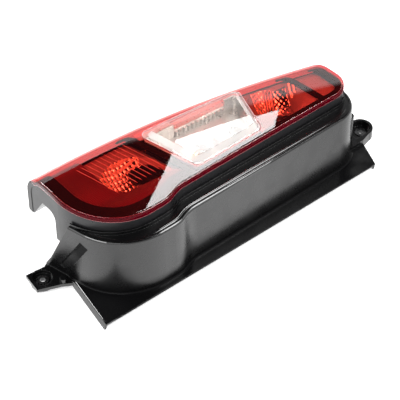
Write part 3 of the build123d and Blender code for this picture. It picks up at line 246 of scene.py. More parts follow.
def shroud_gloss_with_painted_shade(tree, coords, flat):
    """Share of the shroud's gloss that is left.

    Its gloss is cut as painted shade on the upright faces of the wall's root between its ends, and in the
    arm's channel, which darkens them.
    """
    spot = apart(tree, coords)
    # painted shade: the gloss falls away towards the wall's root
    root = spread(tree, spot["Z"], *ROOT_SHADE_RISE, ROOT_SHADE_GLOSS, 1.0)
    from_middle = maths(tree, "ABSOLUTE", maths(tree, "SUBTRACT", spot["X"], WALL_MIDDLE_X))
    ends = spread(tree, from_middle, *WALL_ENDS, 0.0, 1.0)
    level = spread(tree, flat, 0.9, 0.99, 0.0, 1.0)
    wall = maths(tree, "MAXIMUM", root, maths(tree, "MAXIMUM", ends, level))
    from_top = add(tree, "ShaderNodeVectorMath", {0: coords, 1: CHANNEL_TOP}, operation="SUBTRACT").outputs[0]
    along = vector_dot(tree, from_top, CHANNEL_WAY)
    off = maths(tree, "ABSOLUTE", vector_dot(tree, from_top, CHANNEL_ACROSS))
    width = spread(tree, off, *CHANNEL_SIDE, 1.0, 0.0)
    below_top = spread(tree, along, *CHANNEL_START, 0.0, 1.0)
    on_arm = spread(tree, spot["X"], *ARM_RIGHT, 1.0, 0.0)
    fade = spread(tree, along, *CHANNEL_SHADE_FADE, 0.9, 0.2)
    # painted shade in the arm's channel, strongest at its top and fading along it
    channel = maths(tree, "MULTIPLY", width, below_top)
    channel = maths(tree, "MULTIPLY", channel, on_arm)
    channel = maths(tree, "MULTIPLY", channel, fade)
    return maths(tree, "MULTIPLY", wall, maths(tree, "SUBTRACT", 1.0, channel))


def moulded_plastic(name, colour, pale, rough, grain, depth, edge=0.0, shine=0.5, wall=0.0):
    """Moulded plastic: cloudy colour, uneven gloss, a fine spark-eroded grain and rounded edges.

    Only the shroud gives a value for wall. Its upright faces, which leave the mould along their own length,
    are rougher by that much. Its level faces keep only a third of the gloss, a painted shade that darkens the
    tops, and shroud_gloss_with_painted_shade cuts the gloss further as painted shade in parts of it.
    """
    material, tree, out = blank(name)
    coords = place(tree)
    cloud = noise(tree, coords, scale=14, detail=4)
    fine = noise(tree, coords, grain, detail=2, roughness=0.6)
    patches = noise(tree, coords, scale=45, detail=5)
    uneven = spread(tree, patches, 0.3, 0.7, rough - 0.05, rough + 0.06)
    if wall:
        flat = flatness(tree, add(tree, "ShaderNodeNewGeometry").outputs["Normal"])
        uneven = maths(tree, "ADD", uneven, spread(tree, flat, 0.3, 0.9, wall, 0.0))
        # painted shade: level faces keep only a third of the gloss, so the tops look darker than the wall
        shine = spread(tree, flat, 0.4, 0.97, shine, shine * 0.35)
        shine = maths(tree, "MULTIPLY", shine, shroud_gloss_with_painted_shade(tree, coords, flat))
    inputs = {
        "Base Color": tint(tree, cloud, colour, pale),
        "Roughness": uneven,
        "Specular IOR Level": shine,
    }
    start = None
    if edge:
        start = add(tree, "ShaderNodeBevel", {"Radius": edge * MM}, samples=6).outputs["Normal"]
    inputs["Normal"] = bumped(tree, fine, depth * MM, strength=0.5, normal=start)
    shader = add(tree, "ShaderNodeBsdfPrincipled", inputs)
    tree.links.new(shader.outputs["BSDF"], out.inputs["Surface"])
    return material


def lens_plastic(name, through, haze, painted_edge_highlight, frost=0.0, deep=None):
    """Polished clear plastic: lets light straight through with a tint at each face, and mirrors by Fresnel.

    Its upright faces can be frosted, or tinted deeper where the moulding is thick along the near rim. Its
    sharp
    edges carry a painted highlight: a pale diffuse colour where a rounded normal leaves the face's own.
    """
    material, tree, out = blank(name)
    shape = add(tree, "ShaderNodeNewGeometry").outputs
    flat = flatness(tree, shape["Normal"])
    clear = add(tree, "ShaderNodeBsdfTransparent", {"Color": (*through, 1)})
    if deep:
        near = spread(tree, apart(tree, place(tree))["Y"], 0.02, 0.05, 1.0, 0.55)
        side = spread(tree, flat, 0.6, 0.95, 1.0, 0.0)
        thick = maths(tree, "MULTIPLY", near, side)
        tree.links.new(tint(tree, thick, through, deep), clear.inputs["Color"])
    rounded = add(tree, "ShaderNodeBevel", {"Radius": 1.4 * MM}, samples=8).outputs["Normal"]
    gloss = add(tree, "ShaderNodeBsdfGlossy", {"Color": (1, 1, 1, 1), "Roughness": 0.02, "Normal": rounded})
    mirror = add(tree, "ShaderNodeFresnel", {"IOR": LENS_INDEX, "Normal": rounded}).outputs[0]
    share = maths(tree, "MULTIPLY", mirror, maths(tree, "SUBTRACT", 1.0, shape["Backfacing"]))
    if deep:
        share = maths(tree, "MULTIPLY", share, spread(tree, thick, 0.5, 1.0, 1.0, 0.15))
    skin = blend(tree, share, clear, gloss)
    body = add(tree, "ShaderNodeBsdfDiffuse", {"Color": (*haze[:3], 1)})
    milk = haze[3]
    if frost:
        milk = spread(tree, flat, 0.75, 0.985, frost, haze[3])
    if deep:
        milk = spread(tree, thick, 0.3, 1.0, haze[3], 0.12)
    mixed = blend(tree, milk, skin, body)
    # painted highlight: a pale diffuse colour along the sharp edges, where the rounded normal turns away
    edge = spread(tree, vector_dot(tree, rounded, shape["Normal"]), 0.72, 0.97, 0.7, 0.0)
    glow = add(tree, "ShaderNodeBsdfDiffuse", {"Color": (*painted_edge_highlight, 1)})
    highlighted = blend(tree, edge, mixed, glow)
    tree.links.new(highlighted.outputs[0], out.inputs["Surface"])
    return material


def bright_metal(name, colour, rough, depth=0.0, plain=None):
    """Vacuum-metallised or plated surface with slight unevenness.

    Where a plain colour is given, the surface has it and is duller off the moulded optics.
    """
    material, tree, out = blank(name)
    coords = place(tree)
    patches = noise(tree, coords, scale=220)
    uneven = spread(tree, patches, 0.3, 0.7, rough * 0.7, rough * 1.3)
    if plain:
        optics = add(tree, "ShaderNodeAttribute", attribute_name="optics").outputs["Fac"]
        base = tint(tree, optics, plain, colour)
        uneven = maths(tree, "ADD", uneven, spread(tree, optics, 0.0, 1.0, 0.45, 0.0))
    else:
        base = tint(tree, noise(tree, coords, scale=60), colour, tuple(c * 0.9 for c in colour))
    inputs = {"Base Color": base, "Metallic": 1.0, "Roughness": uneven}
    if depth:
        ripple = noise(tree, coords, scale=300, detail=2)
        inputs["Normal"] = bumped(tree, ripple, depth * MM, strength=0.4)
    shader = add(tree, "ShaderNodeBsdfPrincipled", inputs)
    tree.links.new(shader.outputs["BSDF"], out.inputs["Surface"])
    return material


def reflex_plastic(name):
    """Red retro-reflector: rows of small corner prisms, each with a painted glint, lighter at its middle and
    darker at its edges.
    """
    material, tree, out = blank(name)
    coords = place(tree)
    cells = add(tree, "ShaderNodeTexVoronoi", {"Vector": coords, "Scale": 420.0, "Randomness": 0.1})
    dome_and_glint = spread(tree, cells.outputs["Distance"], 0.0, 0.6, 1.0, 0.0)
    # painted glint: each prism's colour is lighter at its middle and darker towards its creases
    shade = tint(tree, dome_and_glint, (0.053, 0.0, 0.013), (0.225, 0.001, 0.045))
    inputs = {"Base Color": shade, "Roughness": 0.3, "Normal": bumped(tree, dome_and_glint, 0.5 * MM, strength=0.8)}
    shader = add(tree, "ShaderNodeBsdfPrincipled", inputs)
    tree.links.new(shader.outputs["BSDF"], out.inputs["Surface"])
    return material


def bulb_glass(name, through):
    """Thin blown glass that passes light straight through."""
    material, tree, out = blank(name)
    clear = add(tree, "ShaderNodeBsdfTransparent", {"Color": (*through, 1)})
    gloss = add(tree, "ShaderNodeBsdfGlossy", {"Color": (1, 1, 1, 1), "Roughness": 0.02})
    facing = add(tree, "ShaderNodeLayerWeight", {"Blend": 0.25}).outputs["Facing"]
    skin = blend(tree, spread(tree, facing, 0.0, 1.0, 0.05, 0.6), clear, gloss)
    tree.links.new(skin.outputs[0], out.inputs["Surface"])
    return material


shroud_dark, shroud_pale = (0.0025, 0.0025, 0.0028), (0.004, 0.004, 0.0042)
satin_black = moulded_plastic(
    "satin_black", shroud_dark, shroud_pale, rough=0.13, grain=2600, depth=0.008, edge=0.8, wall=0.14
)
polished_black = moulded_plastic(
    "polished_black", shroud_dark, shroud_pale, rough=0.12, grain=2600, depth=0.0, shine=0.8
)
housing_black = moulded_plastic(
    "housing_black", (0.01, 0.01, 0.011), (0.016, 0.016, 0.017),
    rough=0.3, grain=1900, depth=0.02, edge=0.6, shine=0.3,
)
mask_black = moulded_plastic(
    "mask_black", (0.004, 0.003, 0.003), (0.007, 0.005, 0.005),
    rough=0.3, grain=2600, depth=0.01, edge=0.3, shine=0.04,
)
carrier_grey = moulded_plastic(
    "carrier_grey", (0.5, 0.5, 0.48), (0.58, 0.58, 0.55), rough=0.45, grain=1500, depth=0.03, edge=0.3
)
peg_white = moulded_plastic(
    "peg_white", (0.72, 0.71, 0.68), (0.8, 0.79, 0.76), rough=0.4, grain=1500, depth=0.02
)
foam_black = moulded_plastic(
    "foam_black", (0.02, 0.02, 0.02), (0.05, 0.05, 0.05), rough=0.85, grain=700, depth=0.3
)
lens_red = lens_plastic(
    "lens_red", through=(0.93, 0.45, 0.40), haze=(0.5, 0.0, 0.03, 0.006),
    painted_edge_highlight=(0.95, 0.4, 0.42), deep=(0.5, 0.03, 0.05),
)
lens_clear = lens_plastic(
    "lens_clear", through=(0.97, 0.97, 0.965), haze=(0.85, 0.82, 0.8, 0.05),
    painted_edge_highlight=(0.9, 0.88, 0.87), frost=0.45,
)
mirror_bright = bright_metal("mirror_bright", (0.52, 0.47, 0.44), rough=0.33)
mirror_bowl = bright_metal("mirror_bowl", (0.82, 0.98, 0.72), rough=0.07, plain=(0.34, 0.33, 0.33))
dark_steel = bright_metal("dark_steel", (0.04, 0.04, 0.041), rough=0.22, depth=0.03)
zinc_plate = bright_metal("zinc_plate", (0.62, 0.62, 0.6), rough=0.32, depth=0.03)
brass_strip = bright_metal("brass_strip", (0.75, 0.56, 0.25), rough=0.3, depth=0.02)
reflex_red = reflex_plastic("reflex_red")
flute_red = moulded_plastic(
    "flute_red", (0.8, 0.28, 0.24), (0.85, 0.32, 0.28), rough=0.25, grain=900, depth=0.0
)
glass_clear = bulb_glass("glass_clear", (0.96, 0.97, 0.97))
glass_amber = bulb_glass("glass_amber", (0.98, 0.6, 0.15))

finishes = {
    "red_lens": lens_red,
    "clear_lens": lens_clear,
    "lamp_housing": housing_black,
    "side_shroud": satin_black,
    "inner_bezel": mask_black,
    "reflex_reflector": reflex_red,
    "lower_reflector": mirror_bright,
    "upper_reflector": mirror_bright,
    "reverse_reflector": mirror_bright,
    "louvre_insert": mask_black,
    "stop_bulb_glass": glass_clear,
    "turn_bulb_glass": glass_amber,
    "reverse_bulb_glass": glass_clear,
    "tail_bulb_glass": glass_clear,
    "stop_bulb_cap": brass_strip,
    "turn_bulb_cap": brass_strip,
    "reverse_bulb_cap": brass_strip,
    "tail_bulb_cap": brass_strip,
    "bulb_carrier": carrier_grey,
    "carrier_seal": foam_black,
    "contact_tracks": brass_strip,
    "connector_terminals": brass_strip,
    "carrier_screws": zinc_plate,
    "shroud_screws": zinc_plate,
    "locating_pegs": peg_white,
    "breather_cap": foam_black,
    "screw_sleeves": dark_steel,
}
for node_name, finish in finishes.items():
    mesh = nodes[node_name].data
    mesh.materials.clear()
    mesh.materials.append(finish)


def new_piece(name, points, faces, finish, crease):
    """Object on the part's one body, smooth but for edges that turn by more than the crease in degrees."""
    mesh = bpy.data.meshes.new(name)
    mesh.from_pydata((points.reshape(-1, 3) * MM).tolist(), [], faces)
    mesh.polygons.foreach_set("use_smooth", np.ones(len(faces), dtype=bool))
    mesh.set_sharp_from_angle(angle=math.radians(crease))
    mesh.materials.append(finish)
    piece = bpy.data.objects.new(name, mesh)
    bpy.context.scene.collection.objects.link(piece)
    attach(piece, "root")
    return piece


def closed_surface(name, points, finish, crease):
    """Piece with outward faces whose points, an array of rows by columns, join round in both directions."""
    rows, columns = points.shape[:2]
    row, column = np.meshgrid(np.arange(rows), np.arange(columns), indexing="ij")
    after, beside = (row + 1) % rows, (column + 1) % columns
    here, there = row * columns, after * columns
    corners = [here + column, there + column, there + beside, here + beside]
    quads = np.stack(corners, -1).reshape(-1, 4)
    flat = points.reshape(-1, 3)
    first, second, third, fourth = (flat[quads[:, i]] for i in range(4))
    bulk = np.sum(first * (np.cross(second, third) + np.cross(third, fourth)))
    if bulk < 0:
        quads = quads[:, ::-1]
    return new_piece(name, points, quads.tolist(), finish, crease)


def rods(name, points, finish):
    """Piece of thin rods with capped ends: an array of rods by stations by points round the section.

    Each section runs clockwise as seen along its rod, so that the faces point outwards.
    """
    count, stations, round_count = points.shape[:3]
    spans = [np.arange(count), np.arange(stations - 1), np.arange(round_count)]
    rod, station, spot = np.meshgrid(*spans, indexing="ij")
    here = (rod * stations + station) * round_count
    beside = (spot + 1) % round_count
    corners = [here + spot, here + beside, here + round_count + beside, here + round_count + spot]
    quads = np.stack(corners, -1).reshape(-1, 4)
    ring = np.arange(round_count)
    starts = (np.arange(count) * stations * round_count)[:, None]
    caps = np.concatenate([starts + ring[::-1], starts + (stations - 1) * round_count + ring])
    return new_piece(name, points, quads.tolist() + caps.tolist(), finish, ROD_CREASE)


def swept_back(x):
    """How far the lens's crown has moved towards the near side at a place along the swept arc."""
    return (x - SWEEP_X) ** 2 / (2 * SWEEP_R)


def lens_top(x, y):
    """Height of the lens's outer face: a round crown that shifts and falls along the swept arc."""
    shift = swept_back(x)
    return CROWN_TOP - (y + shift - CROWN_Y) ** 2 / (2 * CROWN_R) - SWEEP_TILT * shift


def inside(x, y, corners):
    """One inside a polygon with anticlockwise corners, falling to none over its outer millimetre."""
    depth = np.ones(np.broadcast(x, y).shape)
    for (x0, y0), (x1, y1) in zip(corners, corners[1:] + corners[:1]):
        reach = ((x1 - x0) * (y - y0) - (y1 - y0) * (x - x0)) / math.hypot(x1 - x0, y1 - y0)
        depth = np.minimum(depth, reach)
    return np.clip(depth, 0, 1)


def pillows(x, y, pitch, rise, turn=0.0):
    """Rows of shallow domes that meet in creases.

    Each falls with the square of the distance from its middle.
    """
    along = (x * math.cos(turn) + y * math.sin(turn)) / pitch % 1 * 2 - 1
    across = (y * math.cos(turn) - x * math.sin(turn)) / pitch % 1 * 2 - 1
    return rise * (1 - (along * along + across * across) / 2)


def ridge(x, y, start, end, rise, width):
    """A straight rounded rib between two points of the plan, falling off as a bell curve to each side."""
    run_x, run_y = end[0] - start[0], end[1] - start[1]
    length = math.hypot(run_x, run_y)
    along = ((x - start[0]) * run_x + (y - start[1]) * run_y) / length
    off = ((x - start[0]) * run_y - (y - start[1]) * run_x) / length
    fade = 0.5
    held = np.clip(along + fade, 0, 1) * np.clip(length - along + fade, 0, 1)
    return rise * held * np.exp(-((off / width) ** 2))


def lower_optics(x, y):
    """Pillow optics of the lower bowl, on its far side only."""
    area = [(-146, 4), (-84, 4), (-84, 52), (-146, 52)]
    return pillows(x, y, pitch=5.2, rise=1.2) * inside(x, y, area)


def upper_optics(x, y):
    """Two blocks of pillow optics and pairs of ribs beside them in the upper bowl."""
    first = [(106, 9), (119, 35), (98, 35), (92, 13)]
    second = [(115, 4), (138, 2), (146, 23), (129, 28)]
    ribs = [((122, 32), (109, 7)), ((126, 30), (112, 6)), ((152, 22), (146, 8)), ((158, 21), (152, 9))]
    area = np.maximum(inside(x, y, first), inside(x, y, second))
    height = pillows(x, y, pitch=4.4, rise=0.7, turn=0.3) * area
    for start, end in ribs:
        height = height + ridge(x, y, start, end, rise=0.9, width=0.9)
    return height


def reach_to(centre, turn, sides):
    """Distance from a point to the nearest of some straight sides along each angle.

    A side is given by a point on it and its outward way.
    """
    cos, sin = np.cos(turn), np.sin(turn)
    far_away, slight = 400.0, 0.01
    reach = np.full_like(turn, far_away)
    for (x, y), way in sides:
        toward = cos * math.cos(way) + sin * math.sin(way)
        room = (x - centre[0]) * math.cos(way) + (y - centre[1]) * math.sin(way)
        reach = np.where(toward > slight, np.minimum(reach, room / np.maximum(toward, slight)), reach)
    return reach


def within_round(centre, turn, reach, middle, radius, ways):
    """A reach held inside a round corner.

    The corner is given by its middle, its radius and the signs of X and Y that it lies towards.
    """
    cos, sin = np.cos(turn), np.sin(turn)
    x, y = centre[0] - middle[0], centre[1] - middle[1]
    along = x * cos + y * sin
    arc = -along + np.sqrt(np.maximum(along**2 - x * x - y * y + radius * radius, 0))
    corner = ((x + arc * cos) * ways[0] > 0) & ((y + arc * sin) * ways[1] > 0)
    return np.where(corner, np.minimum(reach, arc), reach)


def lower_outline(centre, turn):
    """Edge of the lower chamber's plate: four straight sides and the rounded near corner at the left."""
    left, near = ((-190, 0), math.pi), ((0, -31), -math.pi / 2)
    window, far = ((-55, -30), 0.2557), ((0, 70), math.pi / 2)
    reach = reach_to(centre, turn, [left, near, window, far])
    return within_round(centre, turn, reach, middle=(-128.5, 31), radius=62, ways=(-1, -1))


def upper_outline(centre, turn):
    """Edge of the upper chamber's plate: four straight sides and the rounded near corner at the right."""
    window, near = ((62, -30), math.pi - 0.314), ((0, -32.8), -math.pi / 2)
    right, far = ((192, 0), 0), ((116, 36), math.pi / 2 - 0.22)
    reach = reach_to(centre, turn, [window, near, right, far])
    return within_round(centre, turn, reach, middle=(177, -12.8), radius=20, ways=(1, -1))


def plate_top(x, y, depth):
    """Height of a plate at an even depth under the lens, with the roll at the far side."""
    past = np.clip(y - ROLL_Y + swept_back(x), 0, ROLL_END)
    roll = ROLL_R - depth
    return lens_top(x, y) - depth - roll + np.sqrt(roll * roll - np.minimum(past, roll * ROLL_SHARE) ** 2)


def bowl(name, node, centre, focus, edge, depth, outline, optics):
    """Reflector on its bulb tube, by angle round the bulb's axis and by station along the section.

    The section runs up the tube's bore, out over the dish, where the height is that of a parabola plus the
    moulded optics, on over the plate that fills the chamber at an even depth under the lens, down its edge
    and back at wall thickness to the tube's outside. The dish ends where it meets the plate, and the plate
    at the chamber's outline.
    """
    turn = np.linspace(0, 2 * math.pi, BOWL_ANGLES, endpoint=False)[:, None]
    cos, sin = np.cos(turn), np.sin(turn)
    rim = outline(centre, turn)
    reach = np.full_like(turn, edge)
    for _ in range(BOWL_PASSES):
        room = plate_top(centre[0] + reach * cos, centre[1] + reach * sin, depth) - BOWL_VERTEX
        reach = np.minimum(np.minimum(edge, rim - EDGE_GAP), np.sqrt(4 * focus * room))
    bore = BULB_HOLE_R * np.ones_like(turn)
    tube = TUBE_R * np.ones_like(turn)
    out = BULB_HOLE_R + (reach - BULB_HOLE_R) * np.linspace(0, 1, DISH_STATIONS)
    plate = reach + (rim - reach) * np.linspace(PLATE_START, 1, PLATE_STATIONS)
    under = rim + (reach + 2 * EDGE_GAP - rim) * np.linspace(0, 1, UNDER_STATIONS)
    back = TUBE_R + (reach + EDGE_GAP - TUBE_R) * np.linspace(1, 0, BACK_STATIONS)
    radius = np.concatenate([bore, out, plate, under, back, tube], axis=1)
    ends = np.cumsum([1, DISH_STATIONS, PLATE_STATIONS, UNDER_STATIONS, BACK_STATIONS])
    dish_part, plate_part, under_part, back_part = map(slice, ends[:-1], ends[1:])
    x, y = centre[0] + radius * cos, centre[1] + radius * sin
    dish = BOWL_VERTEX + radius**2 / (4 * focus)
    level = plate_top(x, y, depth)
    raised = optics(x, y)
    foot = TUBE_FOOT * np.ones_like(turn)
    face = [foot, (dish + raised)[:, dish_part], level[:, plate_part]]
    rear = [level[:, under_part], np.minimum(dish, level)[:, back_part]]
    z = np.concatenate(face + [part - REFLECTOR_WALL for part in rear] + [foot], axis=1)
    piece = closed_surface(name, np.stack([x, y, z], axis=-1), mirror_bowl, BOWL_CREASE)
    share = np.zeros_like(x)
    share[:, dish_part] = np.clip(raised[:, dish_part] / OPTICS_EDGE, 0, 1)
    piece.data.attributes.new("optics", "FLOAT", "POINT").data.foreach_set("value", share.ravel())
    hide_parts(node)


def clockwise(sides):
    """Even angles round a section, clockwise as seen along its rod."""
    return np.linspace(0, -2 * math.pi, sides, endpoint=False)[None, None, :]


def tapered(along, rate, least):
    """Share of a rod's full size by the share of its length: one, but for an even fall at both ends."""
    return np.minimum(1, np.minimum(along, 1 - along) * rate + least)


def lens_flutes():
    """Thin round flutes under the lens, by flute, by station across the lens and round the section.

    Each runs from the near side to the far roll, in line with the window's left edge and at an even depth
    under the lens's outer face, and thins towards its ends.
    """
    foot = np.linspace(FLUTE_LEFT, FLUTE_RIGHT, FLUTE_COUNT)[:, None, None]
    along = np.linspace(0, 1, FLUTE_STATIONS)[None, :, None]
    around = clockwise(FLUTE_SIDES)
    y = FLUTE_NEAR_Y + FLUTE_LENGTH * along + 0 * foot
    x = foot - FLUTE_LEAN * (y - FLUTE_NEAR_Y)
    size = FLUTE_R * tapered(along, rate=20, least=0.05)
    z = lens_top(x, y) - FLUTE_DEPTH + size * np.sin(around)
    return np.stack([x + size * np.cos(around), y + 0 * around, z], axis=-1)


def far_bar(near, far):
    """A flat bar in two steps along the window's far edge, by step, by station and round its section.

    Its near and far sides are given as distances past the edge.
    """
    along = np.stack([np.linspace(start, end, BAR_STATIONS) for start, end in BAR_STEPS])[:, :, None]
    middle = (near + far) / 2
    across = np.array([near, middle, far, far, far, middle, near, near])[None, None, :]
    rise = np.array([0, 0, 0, 0.5, 1, 1, 1, 0.5])[None, None, :] * BAR_WALL
    level = np.array(BAR_LEVELS)[:, None, None]
    y = WINDOW_FAR_LEFT[1] + WINDOW_FAR_SLOPE * (along - WINDOW_FAR_LEFT[0]) + across
    return np.stack([along + 0 * y, y, level + rise + 0 * y], axis=-1)


def shroud_edge():
    """Plan of the wall's upper edge at even stations, and its outward way.

    A straight arm leads into the belly's round. Then come a double bend of two arcs, the straight wall and
    the end's round.
    """
    turn = np.linspace(math.pi + ARM_LEAN, math.pi * 1.5, 60)
    belly_x, belly_y = BELLY_X + BELLY_R * np.cos(turn), BELLY_Y + BELLY_R * (1 + np.sin(turn))
    lift = np.linspace(ARM_RUN, 0, 12, endpoint=False)
    arm_x, arm_y = belly_x[0] - lift * math.tan(ARM_LEAN), belly_y[0] + lift
    bend_x = np.linspace(BEND_LEFT, BEND_RIGHT, 41)
    middle = (BEND_LEFT + BEND_RIGHT) / 2
    hollow = BELLY_Y + BEND_R - np.sqrt(BEND_R**2 - (np.minimum(bend_x, middle) - BEND_LEFT) ** 2)
    swell = WALL_Y - BEND_R + np.sqrt(BEND_R**2 - (np.maximum(bend_x, middle) - BEND_RIGHT) ** 2)
    bend_y = np.where(bend_x < middle, hollow, swell)
    turn = np.linspace(math.pi * 1.5, math.pi * 1.5 + END_TURN, 40)
    end_x, end_y = END_X + END_R * np.cos(turn), WALL_Y + END_R * (1 + np.sin(turn))
    x = np.concatenate([arm_x, belly_x, bend_x, end_x])
    y = np.concatenate([arm_y, belly_y, bend_y, end_y])
    run = np.concatenate([[0], np.cumsum(np.hypot(np.diff(x), np.diff(y)))])
    even = np.linspace(0, run[-1], BEAD_STATIONS)
    x, y = np.interp(even, run, x), np.interp(even, run, y)
    along_x, along_y = np.gradient(x), np.gradient(y)
    length = np.hypot(along_x, along_y)
    return x, y, along_y / length, -along_x / length


def shroud_beads():
    """Two rounded beads along the shroud's upper edge, by bead, by station and round a crescent section.

    One lies on the shelf and one on the wall's corner. Each sinks into the shroud where it fades out. The
    corner's bead is flatter at the left, where its radius grows and its middle moves back along the diagonal.
    """
    x, y, out_x, out_y = (a[None, :, None] for a in shroud_edge())
    share = np.linspace(0, 1, BEAD_STATIONS)
    none = np.zeros_like(share)
    shelf_places = [0, 0.1, 0.162, 0.2, 0.26, 0.36, 0.58, 0.74, 0.88, 1]
    shelf_rise = np.interp(share, shelf_places, [0.35, 0.3, 0, 0, 0.8, 1, 1, 0.75, 0.2, 0])
    corner_places = [0, 0.1, 0.15, 0.2, 0.26, 0.36, 0.58, 0.8, 1]
    corner_rise = np.interp(share, corner_places, [1, 1, 0, 0, 0.8, 1, 1, 0.3, 0])
    flat = np.interp(share, [0, 0.15, 0.24, 0.3, 0.46, 0.56, 1], [1, 1, 0.6, 0.6, 0.6, 0, 0])
    low = np.radians(np.stack([none - SHELF_SWEEP, CORNER_LOW + CORNER_NARROWER * flat]))[:, :, None]
    high = np.radians(np.stack([none + SHELF_SWEEP, CORNER_HIGH - CORNER_NARROWER * flat]))[:, :, None]
    sweep = np.concatenate([np.linspace(0, 1, BEAD_OVER), np.linspace(1, 0, BEAD_UNDER)])
    angle = low + (high - low) * sweep
    under = BEAD_WALL * (np.arange(BEAD_OVER + BEAD_UNDER) >= BEAD_OVER)
    wider = np.stack([none, CORNER_WIDER * flat])[:, :, None]
    radius = np.array(BEAD_R)[:, None, None] + wider - under
    corner_sink = BEAD_SINK[1] * (1 - corner_rise)
    back = DIAGONAL * wider + np.stack([none, corner_sink])[:, :, None]
    down = DIAGONAL * wider + np.stack([BEAD_SINK[0] * (1 - shelf_rise), corner_sink])[:, :, None]
    off = radius * np.sin(angle) - np.array(BEAD_INSET)[:, None, None] - back
    z = radius * np.cos(angle) + np.array(BEAD_MIDDLE_Z)[:, None, None] - down
    return np.stack([x + out_x * off, y + out_y * off, z], axis=-1)


def lip_bead():
    """A round bead along the flange's left end, by station and round its section, thin at its ends."""
    along = np.linspace(LIP_MARGIN, 1 - LIP_MARGIN, LIP_STATIONS)[None, :, None]
    around = clockwise(LIP_SIDES)
    size = LIP_R * tapered(along, rate=12, least=0.1)
    off = size * np.cos(around) - LIP_INSET
    x, y = (LIP_START[i] + (LIP_END[i] - LIP_START[i]) * along + LIP_OUT[i] * off for i in range(2))
    return np.stack([x, y, LIP_Z + size * np.sin(around)], axis=-1)


stop_sizes = (STOP_BULB, STOP_FOCUS, STOP_REACH, STOP_DEPTH)
tail_sizes = (TAIL_BULB, TAIL_FOCUS, TAIL_REACH, TAIL_DEPTH)
bowl("lower_bowl", "lower_reflector", *stop_sizes, lower_outline, lower_optics)
bowl("upper_bowl", "upper_reflector", *tail_sizes, upper_outline, upper_optics)
rods("lens_flutes", lens_flutes(), flute_red)
# painted light: a pale sill standing for the backdrop seen through the far flap
rods("backlight_sill", far_bar(*BACKLIGHT_SILL_SIDES), flute_red)
rods("tray_lip", far_bar(*TRAY_SIDES), mirror_bright)
rods("shroud_beads", shroud_beads(), polished_black)
rods("lip_bead", lip_bead(), polished_black)


def studio_world():
    """White sweep with a top edge and a dark ceiling above it for mirrors, and plain white to the camera."""
    world = bpy.data.worlds.new("studio")
    bpy.context.scene.world = world
    world.use_nodes = True
    tree = world.node_tree
    tree.nodes.clear()
    path = add(tree, "ShaderNodeLightPath").outputs
    rise = apart(tree, add(tree, "ShaderNodeTexCoord").outputs["Generated"])["Z"]
    paper = spread(tree, rise, 0.0, 0.64, 0.8, 2.4)
    top_edge = spread(tree, rise, 0.648, 0.662, 1.0, 0.017)
    sweep = maths(tree, "MULTIPLY", paper, top_edge)
    level = add(tree, "ShaderNodeMix", {"Factor": path["Is Glossy Ray"]}, data_type="FLOAT")
    level.inputs["A"].default_value = 0.62
    tree.links.new(sweep, level.inputs["B"])
    seen = maths(tree, "MAXIMUM", path["Is Camera Ray"], path["Is Transmission Ray"])
    shown = add(tree, "ShaderNodeMix", {"Factor": seen}, data_type="FLOAT")
    tree.links.new(level.outputs["Result"], shown.inputs["A"])
    shown.inputs["B"].default_value = 1.0
    back = add(tree, "ShaderNodeBackground", {"Color": (1, 1, 1, 1), "Strength": shown.outputs["Result"]})
    out = add(tree, "ShaderNodeOutputWorld")
    tree.links.new(back.outputs[0], out.inputs["Surface"])


def pale_floor():
    """A large white floor that keeps the part's shadow and shows as an overlit sweep in mirrors."""
    side, level = 40.0, -0.0002
    corners = [(-side, -side, level), (side, -side, level), (side, side, level), (-side, side, level)]
    mesh = bpy.data.meshes.new("floor")
    mesh.from_pydata(corners, [], [(0, 1, 2, 3)])
    floor = bpy.data.objects.new("floor", mesh)
    bpy.context.scene.collection.objects.link(floor)
    material, tree, out = blank("floor_white")
    path = add(tree, "ShaderNodeLightPath").outputs
    coords = place(tree)
    paper = tint(tree, noise(tree, coords, scale=3), (0.86, 0.86, 0.86), (0.88, 0.88, 0.88))
    matt = add(tree, "ShaderNodeBsdfDiffuse", {"Color": paper})
    glow = add(tree, "ShaderNodeEmission", {"Color": (1, 1, 1, 1), "Strength": 0.42})
    lit = add(tree, "ShaderNodeAddShader", {0: matt.outputs[0], 1: glow.outputs[0]})
    strength = spread(tree, apart(tree, coords)["X"], 0.08, 0.3, 2.3, 1.4)
    over = add(tree, "ShaderNodeEmission", {"Color": (1, 1, 1, 1), "Strength": strength})
    plain = blend(tree, path["Is Camera Ray"], matt, lit)
    mixed = blend(tree, path["Is Glossy Ray"], plain, over)
    tree.links.new(mixed.outputs[0], out.inputs["Surface"])
    mesh.materials.append(material)


def stand(thing, right, up, back, spot):
    """Set an object at a spot in metres by its three axes."""
    columns = [right, up, back, spot]
    thing.matrix_world = Matrix([[c[i] for c in columns] for i in range(3)] + [[0, 0, 0, 1]])


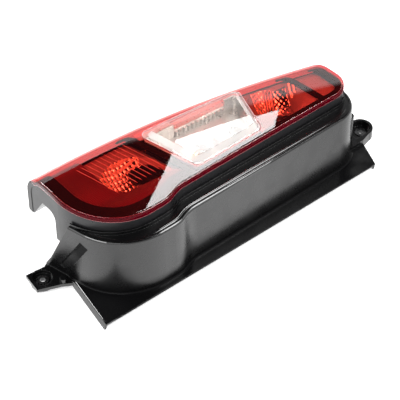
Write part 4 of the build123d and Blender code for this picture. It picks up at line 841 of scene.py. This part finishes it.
def soft_lamp(name, place_at, aim, width, height, power, roll=0.0):
    """A rectangular soft box at one point, turned to another; its own width and height are in metres."""
    lamp = bpy.data.lights.new(name, "AREA")
    lamp.shape = "RECTANGLE"
    lamp.size, lamp.size_y, lamp.energy = width, height, power
    lamp_object = bpy.data.objects.new(name, lamp)
    bpy.context.scene.collection.objects.link(lamp_object)
    start, end = np.array(place_at) * MM, np.array(aim) * MM
    back = (start - end) / np.linalg.norm(start - end)
    side = np.cross((0, 0, 1), back)
    side /= np.linalg.norm(side)
    rise = np.cross(back, side)
    turned = math.cos(roll) * side + math.sin(roll) * rise
    stand(lamp_object, turned, np.cross(back, turned), back, start)


def photo_camera():
    """The photograph's view: 40 degrees round to the left, 45 degrees down, 1.92 m away."""
    camera = bpy.data.objects.new("camera", bpy.data.cameras.new("camera"))
    bpy.context.scene.collection.objects.link(camera)
    camera.data.sensor_width = 36
    camera.data.lens = 144
    camera.data.clip_start, camera.data.clip_end = 0.05, 100
    turn, lift, away = math.radians(-40), math.radians(45), 1.92
    back = np.array((math.sin(turn) * math.cos(lift), -math.cos(turn) * math.cos(lift), math.sin(lift)))
    right = np.array((math.cos(turn), math.sin(turn), 0))
    target = np.array((-60.96, -55.2, 91.2)) * MM
    stand(camera, right, np.cross(back, right), back, target + back * away)
    bpy.context.scene.camera = camera


def strip_lamp():
    """The narrow box that the lens mirrors as a slanted strip, over the far right of the part."""
    bearing, lift, roll = math.radians(44.5), math.radians(50), math.radians(16.6)
    away, aside, above = 1800, 107, 161
    crown = np.array((0, 0, 120))
    level = math.cos(lift)
    toward = np.array((level * math.cos(bearing), level * math.sin(bearing), math.sin(lift)))
    across = np.array((-math.sin(bearing), math.cos(bearing), 0))
    over = np.cross(toward, across)
    spot = crown + away * toward - aside * across + above * over
    soft_lamp("strip_box", spot, spot - away * toward, width=0.277, height=0.72, power=8.8, roll=roll)


studio_world()
pale_floor()
photo_camera()
strip_lamp()
soft_lamp("left_box", (-1500, -520, 1300), (-100, 0, 60), width=1.9, height=0.55, power=21)
soft_lamp("right_box", (690, -800, 1480), (-60, 0, 90), width=0.75, height=0.75, power=22)
edge_roll = math.radians(-40)
soft_lamp("edge_box", (-640, 1300, 1330), (-220, -38, 8), width=0.75, height=0.34, power=16, roll=edge_roll)
bpy.context.scene.view_settings.view_transform = "Standard"
